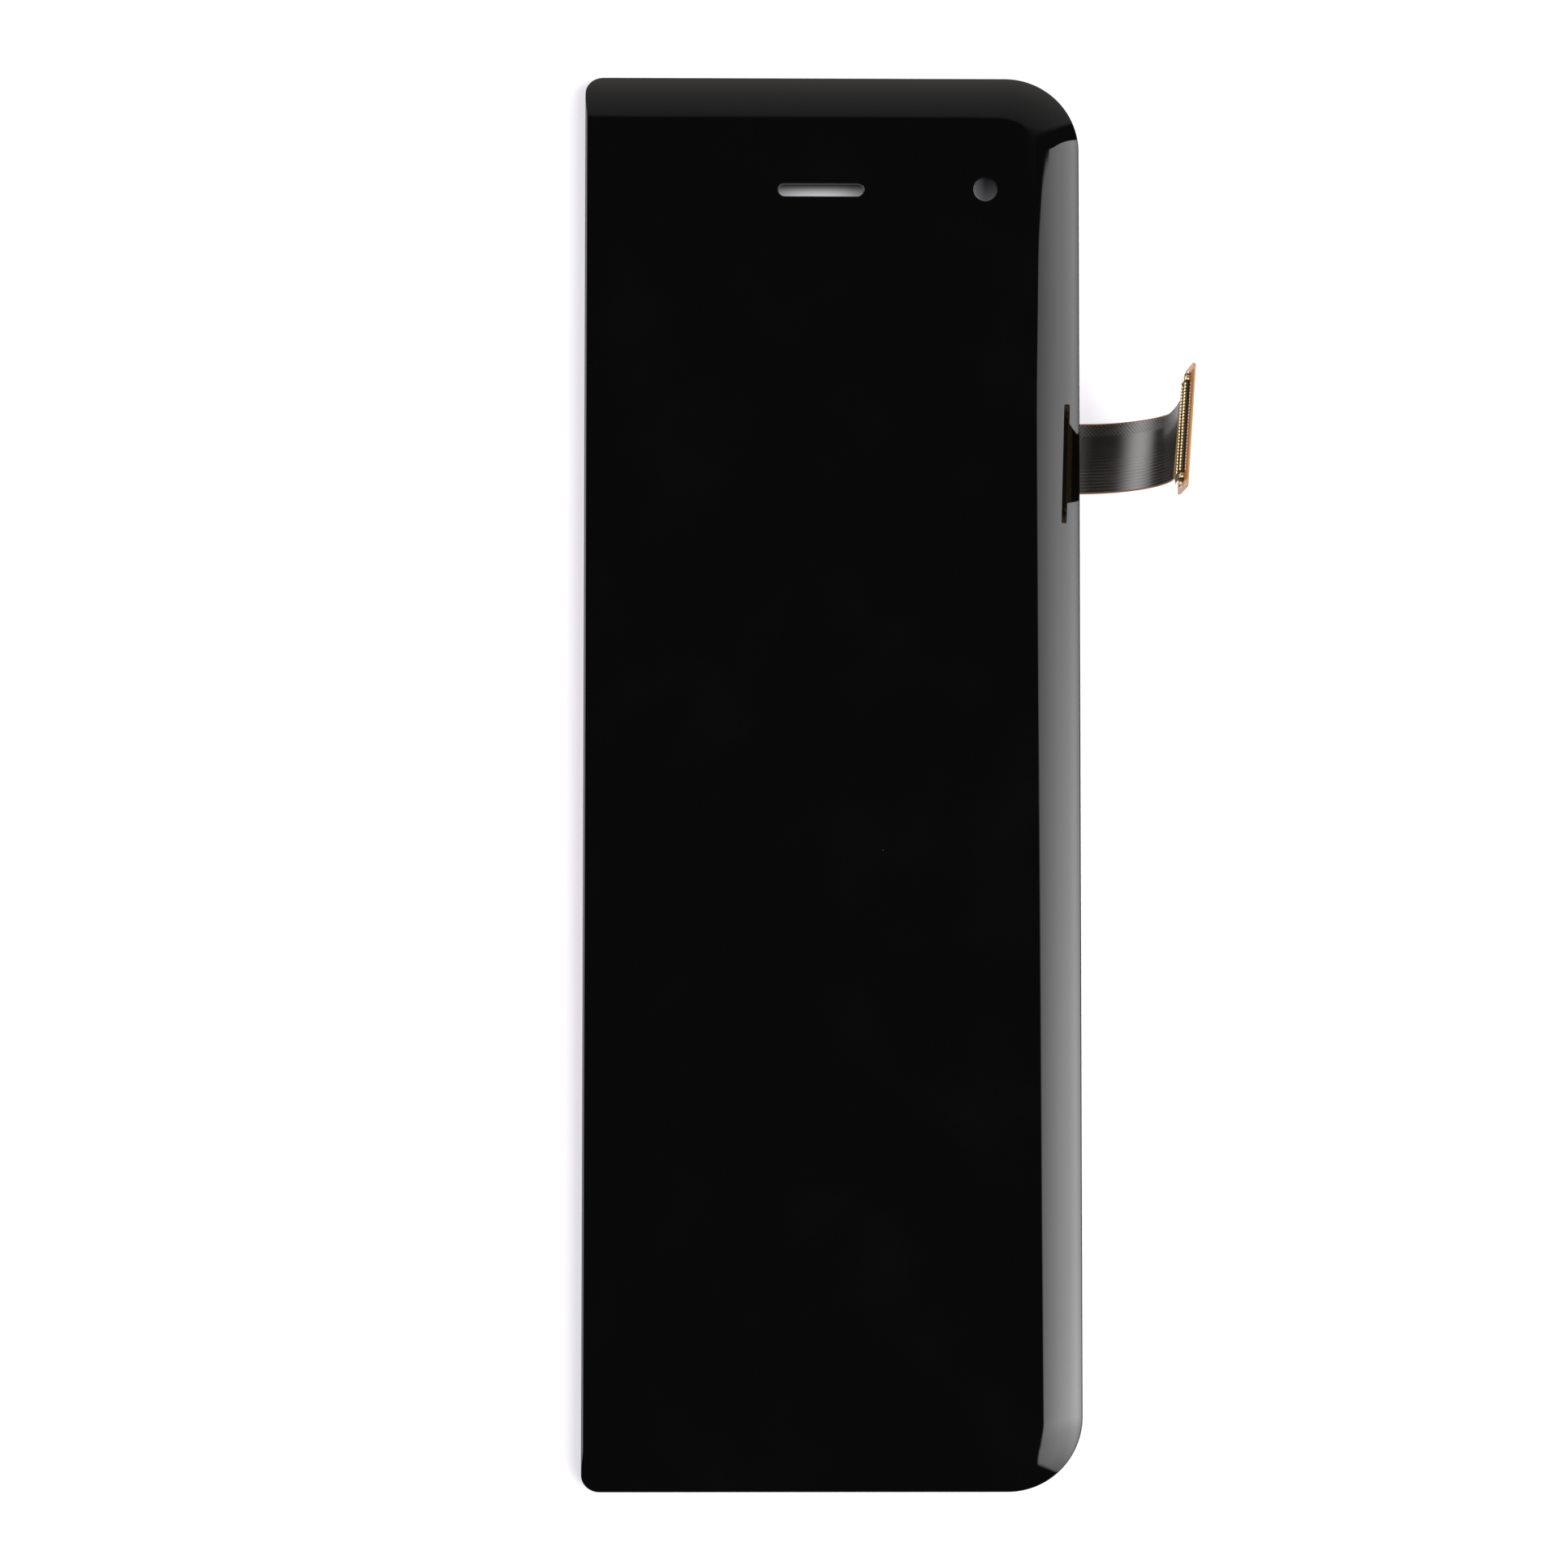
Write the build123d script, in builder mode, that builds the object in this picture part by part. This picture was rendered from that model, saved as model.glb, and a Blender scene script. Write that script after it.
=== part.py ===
from build123d import *
import os
from math import cos, radians, sin, tan

# Cover display module of a folding phone: a bent cover glass with a bonded
# display panel, and a flex circuit that folds behind the panel and leaves on
# the right as a curled tail with a board connector on its end.
# Sizes are millimetres. +X is right and +Y is up seen from the front, +Z points
# out of the glass. The origin lies in the rear face, at the middle of the glass.

os.makedirs("parts", exist_ok=True)

# Active area of the display, and the glass round it
active_width = 46.0
active_length = 107.4
spine_border = 3.1  # glass to the left of the active area
rim_border = 5.7  # glass to the right of it
end_border = 24.3  # glass above and below it

# Cover glass
glass_thickness = 0.55
outer_corner = 8.2  # plan radius of the two right corners
spine_corner = 2.0  # plan radius of the two left corners, beside the hinge
bend_radius = 9.5  # front radius of the bent rim, along the top, right and bottom
bend_width = 5.0  # width of that rim, seen from the front
glass_bevel = 0.4
spare_run = 20.0  # how far the bent sheet runs past the glass before it is trimmed

# Openings of the glass and its mask
slot_length = 9.4
slot_width = 1.4
slot_drop = 12.7  # from the top of the glass to the middle of the earpiece slot
slot_bevel = 0.12
camera_offset = 18.2  # from the display's centre line to the camera window
camera_diameter = 2.6

# Layers behind the glass
mask_thickness = 0.08
mask_setback = 0.25
mask_slot_clearance = 0.15
adhesive_thickness = 0.15
polarizer_thickness = 0.15
encapsulation_thickness = 0.25
cell_gap = 0.06
backplane_thickness = 0.25
foam_thickness = 0.15
copper_thickness = 0.10

# Display panel
film_border = 0.6  # adhesive and polarizer past the active area
polarizer_setback = 0.15
glass_border = 1.6  # panel glass past the active area, top and bottom
side_border = 1.1
seal_width = 0.7
emitter_border = 0.15
ledge_length = 3.6  # backplane past the encapsulation glass, at the top end

# Driver chip on the ledge
driver_length = 19.0
driver_width = 1.1
driver_height = 0.22
driver_gap = 0.5

# Flex circuit behind the panel
flex_thickness = 0.12
bond_thickness = 0.05
bond_width = 1.1
tongue_width = 24.0
tape_thickness = 0.08
tape_setback = 0.8
fold_overhang = 0.2
body_left_inset = 3.4
body_right_inset = 4.3
body_top_inset = 1.4
body_length = 12.5
branch_width = 11.0
body_corner = 1.5
branch_corner = 3.0

# Touch flex from the front of the encapsulation glass to the flex circuit
touch_width = 7.0
touch_offset = -7.6
touch_thickness = 0.10
touch_bond_width = 0.8
touch_fold_overhang = 0.15
touch_lap = 3.2

# Tail
tail_width = 7.8
tail_drop = 21.92  # from the top of the flex body to the tail's middle line
rim_clearance = 0.12
dip_radius = 2.4
curl_gap = 0.1  # from the glass's edge to the start of the curl
curl_radius = 9.7
curl_turn = 85.0
curl_skew = 5.1  # the curl's axis lies this much off the tail's width
curl_rise_share = 0.63  # share of the skew that the tail's edges take from its rise
tail_straight = 2.35  # from the end of the curl to the connector board
tail_overlap = 1.0
shield_thickness = 0.05
shield_setback = 0.13
shield_stop = 1.0  # turn of the curl that the shield films leave bare at its end
flare_angle = 66.5  # turn of the curl where the tail starts to widen on its upper side
flare_width = 1.55

# Connector board
board_length = 13.8
board_width = 4.3
board_shift = 0.75
board_skew = 6.4  # turn of the board in its own plane
board_corner = 0.4
stiffener_thickness = 0.18
stiffener_setback = 0.06

# Connector
connector_drop = 0.25  # from the middle of the board towards the tail
housing_length = 11.8
housing_width = 2.1
housing_height = 0.46
end_block_length = 0.8
end_block_width = 2.5
flange_height = 0.28
flange_cover = 0.1  # flange past the contacts' outer faces
housing_corner = 0.18
housing_side_wall = 0.5
housing_end_wall = 0.75
pocket_floor = 0.16
contact_pitch = 0.35
contact_count = 28  # in each of the two rows
contact_width = 0.23
contact_thickness = 0.08
contact_foot = 0.42
contact_reach = 0.24  # how far a contact comes down inside its wall
clip_thickness = 0.10
clip_foot = 0.38
clip_reach = 0.24
clip_width = 1.3
clip_lip_clearance = 0.02

# Chips and small parts on the flex circuit
chip_height = 0.36
chip_edge = 0.04
touch_chip_side = 4.6
touch_chip_place = (7.5, 7.3)  # each place is measured right and down from the body's corner
power_chip_side = 3.0
power_chip_place = (34.6, 6.1)
memory_width = 3.0
memory_length = 2.0
memory_place = (17.0, 8.5)
inductor_length = 2.0
inductor_width = 1.6
inductor_height = 0.34
inductor_row = (24.0, 6.1)
inductor_pitch = 2.6
inductor_count = 3
capacitor_length = 1.0
capacitor_width = 0.5
capacitor_height = 0.30
capacitor_end = 0.25
capacitor_skin = 0.02
capacitor_pitch = 1.4
capacitor_row = (26.6, 9.9)
capacitor_count = 10
resistor_length = 0.6
resistor_width = 0.3
resistor_height = 0.20
resistor_pitch = 1.0
resistor_row = (14.0, 4.9)
resistor_count = 7

# Rear sheets
sheet_setback = 0.6
sheet_corner = 0.8
flex_clearance = 2.2  # from the flex circuit to the foam and the copper

# Plan of the glass; the origin is at its middle
glass_width = spine_border + active_width + rim_border
glass_length = active_length + 2 * end_border
axis_shift = (spine_border - rim_border) / 2  # X of the display's own centre line

# Heights of the layers, from the rear face at zero to the front of the glass
foam_front = copper_thickness + foam_thickness
backplane_front = foam_front + backplane_thickness
cell_front = backplane_front + cell_gap
encapsulation_front = cell_front + encapsulation_thickness
polarizer_front = encapsulation_front + polarizer_thickness
adhesive_front = polarizer_front + adhesive_thickness
mask_front = adhesive_front + mask_thickness
front_height = mask_front + glass_thickness

# Bent rim
bend_spread = bend_radius - bend_width  # the bend would run this much further to stand upright
inner_bend = bend_radius - glass_thickness
rim_bottom = front_height - bend_radius + (inner_bend**2 - bend_width**2) ** 0.5
slot_height = glass_length / 2 - slot_drop

# Panel edges
panel_bottom = -active_length / 2 - glass_border
panel_top = active_length / 2 + glass_border
ledge_top = panel_top + ledge_length
panel_width = active_width + 2 * side_border
panel_left = axis_shift - panel_width / 2
panel_right = axis_shift + panel_width / 2
film_length = active_length + 2 * film_border
film_width = active_width + 2 * film_border

# Flex circuit plan
body_left = panel_left + body_left_inset
body_right = panel_right - body_right_inset
body_top = ledge_top - body_top_inset
body_bottom = body_top - body_length
branch_left = body_right - branch_width
tail_height = body_top - tail_drop
curl_start = glass_width / 2 + curl_gap

# Flex circuit heights
tape_rear = foam_front - tape_thickness
flex_rear = tape_rear - flex_thickness
flex_half = flex_thickness / 2
flex_middle = tape_rear - flex_half
tongue_middle = backplane_front + bond_thickness + flex_half
tail_middle = rim_bottom - rim_clearance - shield_thickness - flex_half
tail_bottom = tail_height - tail_width / 2

# Dip of the tail under the rim: two equal arcs, one after the other
dip_slope_cos = 1 - (flex_middle - tail_middle) / (2 * dip_radius)
dip_slope_sin = (1 - dip_slope_cos**2) ** 0.5
dip_end = body_right + 2 * dip_radius * dip_slope_sin

# Directions of the curled tail
skew = radians(curl_skew)
turn = radians(curl_turn)
curl_way = Vector(cos(skew), -sin(skew), 0)
curl_axis = Vector(sin(skew), cos(skew), 0)
upward = Vector(0, 0, 1)
curl_origin = Vector(curl_start, tail_height, tail_middle)
curl_plane = Plane(origin=curl_origin, x_dir=curl_way, z_dir=-curl_axis)
edge_normal = curl_axis - curl_way * tan(skew) - upward * (curl_rise_share * tan(skew))

# Widest lip that a hold-down clip can have inside the connector's pocket
clip_lip_width = housing_width - 2 * (housing_side_wall + housing_corner + clip_lip_clearance)

# Plane of the connector board: X along the board, Z out of its connector side
tail_end_way = curl_way * cos(turn) + upward * sin(turn)
board_normal = upward * cos(turn) - curl_way * sin(turn)
board_turn = radians(board_skew)
board_x = curl_axis * cos(board_turn) - tail_end_way * sin(board_turn)
board_run = curl_radius * turn / cos(skew) + tail_straight + board_width / 2
board_along = board_run * cos(skew) - board_shift * sin(board_turn) - curl_radius * turn
board_across = board_run * sin(skew) + board_shift * cos(board_turn)
curl_end = curl_origin + curl_way * (curl_radius * sin(turn)) + upward * (curl_radius * (1 - cos(turn)))
board_centre = curl_end + tail_end_way * board_along + curl_axis * board_across
board_plane = Plane(origin=board_centre, x_dir=board_x, z_dir=board_normal)

# Plane of the connector, and its heights above the middle of the board
connector_centre = board_centre + board_plane.y_dir * connector_drop
connector_plane = Plane(origin=connector_centre, x_dir=board_x, z_dir=board_normal)
board_face = flex_half
housing_top = board_face + housing_height

# Edge of the flare, from the tail's upper edge to the board's lower edge
flare_turn = radians(flare_angle)
flare_way = curl_radius * sin(flare_turn)
flare_rise = curl_radius * (1 - cos(flare_turn))
flare_across = tail_width / (2 * cos(skew)) + tan(skew) * (flare_way + curl_rise_share * flare_rise)
flare_start = curl_origin + curl_way * flare_way + upward * flare_rise + curl_axis * flare_across
flare_along = tail_width / 2 + flare_width - board_shift
flare_end = board_centre + board_x * flare_along + board_plane.y_dir * (board_width / 2)
flare_middle = (flare_turn + turn) / 2
flare_facing = upward * cos(flare_middle) - curl_way * sin(flare_middle)
flare_normal = flare_facing.cross(flare_end - flare_start).normalized()


def glass_outline(inset):
    """Plan of the glass, drawn in from its edge by the inset."""
    with BuildSketch() as outline:
        Rectangle(glass_width - 2 * inset, glass_length - 2 * inset)
        fillet(outline.vertices().group_by(Axis.X)[-1], outer_corner - inset)
        fillet(outline.vertices().group_by(Axis.X)[0], spine_corner - inset)
    return outline.sketch


def bent_block(depth):
    """Solid whose bent top lies the given depth behind the front of the glass."""
    spread = bend_spread - depth
    with BuildPart() as block:
        with BuildSketch(Plane.XY.offset(front_height - depth)):
            with Locations(((spread - spare_run) / 2, 0)):
                RectangleRounded(
                    glass_width + spread + spare_run,
                    glass_length + 2 * spread,
                    outer_corner + spread,
                )
        extrude(amount=-2 * bend_radius)
        fillet(block.faces().sort_by(Axis.Z)[-1].edges(), radius=bend_radius - depth)
    return block.part


def trim_block(inset, bevel):
    """Upright block on the glass's plan, with its top edge rounded."""
    with BuildPart() as block:
        with BuildSketch(Plane.XY.offset(front_height)):
            add(glass_outline(inset))
        extrude(amount=-bend_radius)
        if bevel > 0:
            fillet(block.faces().sort_by(Axis.Z)[-1].edges(), radius=bevel)
    return block.part


def curl_profile(low, high, arc, run):
    """Face of the curl, seen along its axis, between two heights off the tail's middle."""
    with BuildSketch() as profile:
        with BuildLine():
            under = JernArc(start=(0, low), tangent=(1, 0), radius=curl_radius - low, arc_size=arc)
            over = JernArc(start=(0, high), tangent=(1, 0), radius=curl_radius - high, arc_size=arc)
            Line(under @ 0, over @ 0)
            if run > 0:
                under_run = Line(under @ 1, under @ 1 + (under % 1) * run)
                over_run = Line(over @ 1, over @ 1 + (over % 1) * run)
                Line(under_run @ 1, over_run @ 1)
            else:
                Line(under @ 1, over @ 1)
        make_face()
    return profile.sketch


def curl_band(low, high, arc, run, inset):
    """Curled stretch of the tail, its long edges drawn in by the inset."""
    with BuildPart() as band:
        with BuildSketch(curl_plane):
            add(curl_profile(low, high, arc, run))
        extrude(amount=tail_width, both=True)
        upper_edge = curl_origin + Vector(0, tail_width / 2 - inset, 0)
        lower_edge = curl_origin - Vector(0, tail_width / 2 - inset, 0)
        split(bisect_by=Plane(origin=upper_edge, z_dir=edge_normal), keep=Keep.BOTTOM)
        split(bisect_by=Plane(origin=lower_edge, z_dir=edge_normal), keep=Keep.TOP)
    return band.part


def flare_band(low, high, arc, run, inset):
    """Part of the curl whose upper edge slants out from the tail to the board."""
    with BuildPart() as band:
        with BuildSketch(curl_plane):
            add(curl_profile(low, high, arc, run))
        extrude(amount=tail_width, both=True)
        slant_edge = flare_start - flare_normal * inset
        split(bisect_by=Plane(origin=slant_edge, z_dir=flare_normal), keep=Keep.BOTTOM)
        split(bisect_by=Plane(origin=curl_origin, z_dir=edge_normal), keep=Keep.TOP)
    return band.part


def flat_run(low, high, start, inset):
    """Level stretch of the tail from the given X to the skewed line where the curl begins."""
    half = tail_width / 2 - inset
    slant = half * tan(skew)
    with BuildPart() as run:
        with BuildSketch(Plane.XY.offset(tail_middle + low)):
            with BuildLine():
                Polyline(
                    (start, tail_height - half),
                    (curl_start - slant, tail_height - half),
                    (curl_start + slant, tail_height + half),
                    (start, tail_height + half),
                    close=True,
                )
            make_face()
        extrude(amount=high - low)
    return run.part


def fold_profile(front, rear, thickness, front_start, fold_start, rear_end):
    """Face, in Y and Z, of a film that folds round the panel's top end."""
    half = thickness / 2
    radius = (front - rear) / 2
    with BuildSketch() as profile:
        with BuildLine():
            Line((front_start, front + half), (fold_start, front + half))
            RadiusArc((fold_start, front + half), (fold_start, rear - half), radius + half)
            Line((fold_start, rear - half), (rear_end, rear - half))
            Line((rear_end, rear - half), (rear_end, rear + half))
            Line((rear_end, rear + half), (fold_start, rear + half))
            RadiusArc((fold_start, rear + half), (fold_start, front - half), -(radius - half))
            Line((fold_start, front - half), (front_start, front - half))
            Line((front_start, front - half), (front_start, front + half))
        make_face()
    return profile.sketch


def dip_profile():
    """Face, in X and Z, of the stretch where the tail dips to pass under the glass's rim."""
    start = Vector(body_right, flex_middle)
    middle = Vector((body_right + dip_end) / 2, (flex_middle + tail_middle) / 2)
    end = Vector(dip_end, tail_middle)
    upright = Vector(0, flex_half)
    across = Vector(dip_slope_sin, dip_slope_cos) * flex_half
    outer_radius = dip_radius + flex_half
    inner_radius = dip_radius - flex_half
    with BuildSketch() as profile:
        with BuildLine():
            RadiusArc(start + upright, middle + across, outer_radius)
            RadiusArc(middle + across, end + upright, -inner_radius)
            Line(end + upright, end - upright)
            RadiusArc(end - upright, middle - across, outer_radius)
            RadiusArc(middle - across, start - upright, -inner_radius)
            Line(start - upright, start + upright)
        make_face()
    return profile.sketch


# Cover glass: a bent sheet trimmed to its plan, with the earpiece slot cut through
with BuildPart() as cover_glass:
    add(bent_block(0))
    add(bent_block(glass_thickness), mode=Mode.SUBTRACT)
    add(trim_block(0, glass_bevel), mode=Mode.INTERSECT)
    with BuildSketch(Plane.XY.offset(front_height)):
        with Locations((axis_shift, slot_height)):
            SlotOverall(slot_length, slot_width)
    extrude(amount=-2 * glass_thickness, mode=Mode.SUBTRACT)
    slot_faces = cover_glass.faces().filter_by_position(
        Axis.Y, slot_height - slot_width, slot_height + slot_width
    )
    slot_rim = slot_faces.edges().group_by(Axis.Z)[-1]
    chamfer(slot_rim, slot_bevel)
cover_glass.part.label = "cover_glass"
export_step(cover_glass.part, "parts/cover_glass.step")

# Black mask printed on the back of the glass, with the display and camera windows
with BuildPart() as black_mask:
    add(bent_block(glass_thickness))
    add(bent_block(glass_thickness + mask_thickness), mode=Mode.SUBTRACT)
    add(trim_block(mask_setback, 0), mode=Mode.INTERSECT)
    with BuildSketch(Plane.XY.offset(mask_front)):
        with Locations((axis_shift, 0)):
            Rectangle(active_width, active_length)
        with Locations((axis_shift, slot_height)):
            SlotOverall(slot_length + 2 * mask_slot_clearance, slot_width + 2 * mask_slot_clearance)
        with Locations((axis_shift + camera_offset, slot_height)):
            Circle(camera_diameter / 2)
    extrude(amount=-2 * mask_thickness, mode=Mode.SUBTRACT)
black_mask.part.label = "black_mask"
export_step(black_mask.part, "parts/black_mask.step")

# Clear adhesive between the glass and the panel; it also fills the mask's display window
with BuildPart() as optical_adhesive:
    with BuildSketch(Plane.XY.offset(polarizer_front)):
        with Locations((axis_shift, 0)):
            Rectangle(film_width, film_length)
    extrude(amount=adhesive_thickness)
    with BuildSketch(Plane.XY.offset(adhesive_front)):
        with Locations((axis_shift, 0)):
            Rectangle(active_width, active_length)
    extrude(amount=mask_thickness)
optical_adhesive.part.label = "optical_adhesive"
export_step(optical_adhesive.part, "parts/optical_adhesive.step")

# Circular polarizer
with BuildPart() as polarizer:
    with BuildSketch(Plane.XY.offset(encapsulation_front)):
        with Locations((axis_shift, 0)):
            Rectangle(film_width - 2 * polarizer_setback, film_length - 2 * polarizer_setback)
    extrude(amount=polarizer_thickness)
polarizer.part.label = "polarizer"
export_step(polarizer.part, "parts/polarizer.step")

# Encapsulation glass, which carries the touch electrodes
with BuildPart() as encapsulation_glass:
    with BuildSketch(Plane.XY.offset(cell_front)):
        with Locations((axis_shift, 0)):
            Rectangle(panel_width, panel_top - panel_bottom)
    extrude(amount=encapsulation_thickness)
encapsulation_glass.part.label = "encapsulation_glass"
export_step(encapsulation_glass.part, "parts/encapsulation_glass.step")

# Fused glass seal round the cell
with BuildPart() as cell_seal:
    with BuildSketch(Plane.XY.offset(backplane_front)):
        with Locations((axis_shift, 0)):
            Rectangle(panel_width, panel_top - panel_bottom)
            Rectangle(
                panel_width - 2 * seal_width,
                panel_top - panel_bottom - 2 * seal_width,
                mode=Mode.SUBTRACT,
            )
    extrude(amount=cell_gap)
cell_seal.part.label = "cell_seal"
export_step(cell_seal.part, "parts/cell_seal.step")

# Light-emitting layers inside the seal
with BuildPart() as emitter_layer:
    with BuildSketch(Plane.XY.offset(backplane_front)):
        with Locations((axis_shift, 0)):
            Rectangle(active_width + 2 * emitter_border, active_length + 2 * emitter_border)
    extrude(amount=cell_gap)
emitter_layer.part.label = "emitter_layer"
export_step(emitter_layer.part, "parts/emitter_layer.step")

# Transistor backplane, longer than the encapsulation glass by its driver ledge
with BuildPart() as backplane_glass:
    with BuildSketch(Plane.XY.offset(foam_front)):
        with Locations((axis_shift, (ledge_top + panel_bottom) / 2)):
            Rectangle(panel_width, ledge_top - panel_bottom)
    extrude(amount=backplane_thickness)
backplane_glass.part.label = "backplane_glass"
export_step(backplane_glass.part, "parts/backplane_glass.step")

# Display driver chip, face down on the ledge
with BuildPart() as driver_chip:
    with BuildSketch(Plane.XY.offset(backplane_front)):
        with Locations((axis_shift, panel_top + driver_gap + driver_width / 2)):
            Rectangle(driver_length, driver_width)
    extrude(amount=driver_height)
driver_chip.part.label = "driver_chip"
export_step(driver_chip.part, "parts/driver_chip.step")

# Conductive bonding film between the ledge and the flex circuit
with BuildPart() as bonding_film:
    with BuildSketch(Plane.XY.offset(backplane_front)):
        with Locations((axis_shift, ledge_top - bond_width / 2)):
            Rectangle(tongue_width, bond_width)
    extrude(amount=bond_thickness)
bonding_film.part.label = "bonding_film"
export_step(bonding_film.part, "parts/bonding_film.step")

# Flex circuit: bonded tongue, fold, body behind the panel, dipping tail, curl and board
tongue_plane = Plane.YZ.offset(axis_shift)
with BuildPart() as flex_circuit:
    tongue_fold = fold_profile(
        tongue_middle,
        flex_middle,
        flex_thickness,
        ledge_top - bond_width,
        ledge_top + fold_overhang,
        body_top - body_corner,
    )
    with BuildSketch(tongue_plane):
        add(tongue_fold)
    extrude(amount=tongue_width / 2, both=True)
    with BuildSketch(Plane.XY.offset(flex_rear)) as body_plan:
        with BuildLine():
            Polyline(
                (body_left, body_top),
                (body_right, body_top),
                (body_right, tail_bottom),
                (branch_left, tail_bottom),
                (branch_left, body_bottom),
                (body_left, body_bottom),
                close=True,
            )
        make_face()
        fillet(body_plan.vertices().group_by(Axis.Y)[-1], body_corner)
        fillet(body_plan.vertices().group_by(Axis.X)[0].sort_by(Axis.Y)[0], body_corner)
        fillet(body_plan.vertices().sort_by_distance((branch_left, body_bottom))[0], branch_corner)
        fillet(body_plan.vertices().sort_by_distance((branch_left, tail_bottom))[0], branch_corner)
    extrude(amount=flex_thickness)
    with BuildSketch(Plane.XZ.offset(-tail_height)):
        add(dip_profile())
    extrude(amount=tail_width / 2, both=True)
    add(flat_run(-flex_half, flex_half, dip_end, 0))
    add(curl_band(-flex_half, flex_half, curl_turn, tail_straight + tail_overlap, 0))
    add(flare_band(-flex_half, flex_half, curl_turn, tail_straight + tail_overlap, 0))
    with BuildSketch(board_plane.offset(-flex_half)):
        RectangleRounded(board_length, board_width, board_corner)
    extrude(amount=flex_thickness)
flex_circuit.part.label = "flex_circuit"
export_step(flex_circuit.part, "parts/flex_circuit.step")

# Tape that holds the folded flex circuit to the back of the panel
with BuildPart() as flex_tape:
    with BuildSketch(Plane.XY.offset(tape_rear)):
        with BuildLine():
            Polyline(
                (body_left + tape_setback, body_top - tape_setback),
                (body_right - tape_setback, body_top - tape_setback),
                (body_right - tape_setback, tail_bottom + tape_setback),
                (branch_left + tape_setback, tail_bottom + tape_setback),
                (branch_left + tape_setback, body_bottom + tape_setback),
                (body_left + tape_setback, body_bottom + tape_setback),
                close=True,
            )
        make_face()
    extrude(amount=tape_thickness)
flex_tape.part.label = "flex_tape"
export_step(flex_tape.part, "parts/flex_tape.step")

# Black shield films on both sides of the tail
shield_turn = curl_turn - shield_stop
with BuildPart() as tail_shield_front:
    add(flat_run(flex_half, flex_half + shield_thickness, dip_end, shield_setback))
    add(curl_band(flex_half, flex_half + shield_thickness, shield_turn, 0, shield_setback))
    add(flare_band(flex_half, flex_half + shield_thickness, shield_turn, 0, shield_setback))
tail_shield_front.part.label = "tail_shield_front"
export_step(tail_shield_front.part, "parts/tail_shield_front.step")

with BuildPart() as tail_shield_rear:
    add(flat_run(-flex_half - shield_thickness, -flex_half, dip_end, shield_setback))
    add(curl_band(-flex_half - shield_thickness, -flex_half, shield_turn, 0, shield_setback))
    add(flare_band(-flex_half - shield_thickness, -flex_half, shield_turn, 0, shield_setback))
tail_shield_rear.part.label = "tail_shield_rear"
export_step(tail_shield_rear.part, "parts/tail_shield_rear.step")

# Touch flex: bonded in front of the encapsulation glass, folded outside the flex circuit
touch_plane = Plane.YZ.offset(axis_shift + touch_offset)
touch_front = encapsulation_front + bond_thickness + touch_thickness / 2
touch_rear = flex_rear - bond_thickness - touch_thickness / 2
with BuildPart() as touch_flex:
    touch_fold = fold_profile(
        touch_front,
        touch_rear,
        touch_thickness,
        panel_top - touch_bond_width,
        ledge_top + fold_overhang + touch_fold_overhang,
        body_top - touch_lap,
    )
    with BuildSketch(touch_plane):
        add(touch_fold)
    extrude(amount=touch_width / 2, both=True)
touch_flex.part.label = "touch_flex"
export_step(touch_flex.part, "parts/touch_flex.step")

# Bonding films at the two ends of the touch flex
with BuildPart() as touch_bonds:
    with BuildSketch(Plane.XY.offset(encapsulation_front)):
        with Locations((axis_shift + touch_offset, panel_top - touch_bond_width / 2)):
            Rectangle(touch_width, touch_bond_width)
    extrude(amount=bond_thickness)
    with BuildSketch(Plane.XY.offset(flex_rear)):
        with Locations((axis_shift + touch_offset, body_top - touch_lap + touch_bond_width / 2)):
            Rectangle(touch_width, touch_bond_width)
    extrude(amount=-bond_thickness)
touch_bonds.part.label = "touch_bonds"
export_step(touch_bonds.part, "parts/touch_bonds.step")

# Foam and copper sheets behind the panel, notched round the flex circuit
sheet_left = panel_left + sheet_setback
sheet_right = panel_right - sheet_setback
with BuildSketch() as sheet_plan:
    with BuildLine():
        Polyline(
            (sheet_left, panel_bottom + sheet_setback),
            (sheet_right, panel_bottom + sheet_setback),
            (sheet_right, tail_bottom - flex_clearance),
            (branch_left - flex_clearance, tail_bottom - flex_clearance),
            (branch_left - flex_clearance, body_bottom - flex_clearance),
            (sheet_left, body_bottom - flex_clearance),
            close=True,
        )
    make_face()
    fillet(sheet_plan.vertices(), sheet_corner)

with BuildPart() as foam_cushion:
    with BuildSketch(Plane.XY.offset(copper_thickness)):
        add(sheet_plan.sketch)
    extrude(amount=foam_thickness)
foam_cushion.part.label = "foam_cushion"
export_step(foam_cushion.part, "parts/foam_cushion.step")

with BuildPart() as copper_sheet:
    with BuildSketch():
        add(sheet_plan.sketch)
    extrude(amount=copper_thickness)
copper_sheet.part.label = "copper_sheet"
export_step(copper_sheet.part, "parts/copper_sheet.step")


def on_body(place):
    """Point of the flex body, measured right and down from its upper left corner."""
    return (body_left + place[0], body_top - place[1])


# Chips on the flex circuit, on the side away from the panel
with BuildPart() as touch_controller:
    with BuildSketch(Plane.XY.offset(flex_rear)):
        with Locations(on_body(touch_chip_place)):
            Rectangle(touch_chip_side, touch_chip_side)
    extrude(amount=-chip_height)
    chamfer(touch_controller.faces().sort_by(Axis.Z)[0].edges(), chip_edge)
touch_controller.part.label = "touch_controller"
export_step(touch_controller.part, "parts/touch_controller.step")

with BuildPart() as power_chip:
    with BuildSketch(Plane.XY.offset(flex_rear)):
        with Locations(on_body(power_chip_place)):
            Rectangle(power_chip_side, power_chip_side)
    extrude(amount=-chip_height)
    chamfer(power_chip.faces().sort_by(Axis.Z)[0].edges(), chip_edge)
power_chip.part.label = "power_chip"
export_step(power_chip.part, "parts/power_chip.step")

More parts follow.
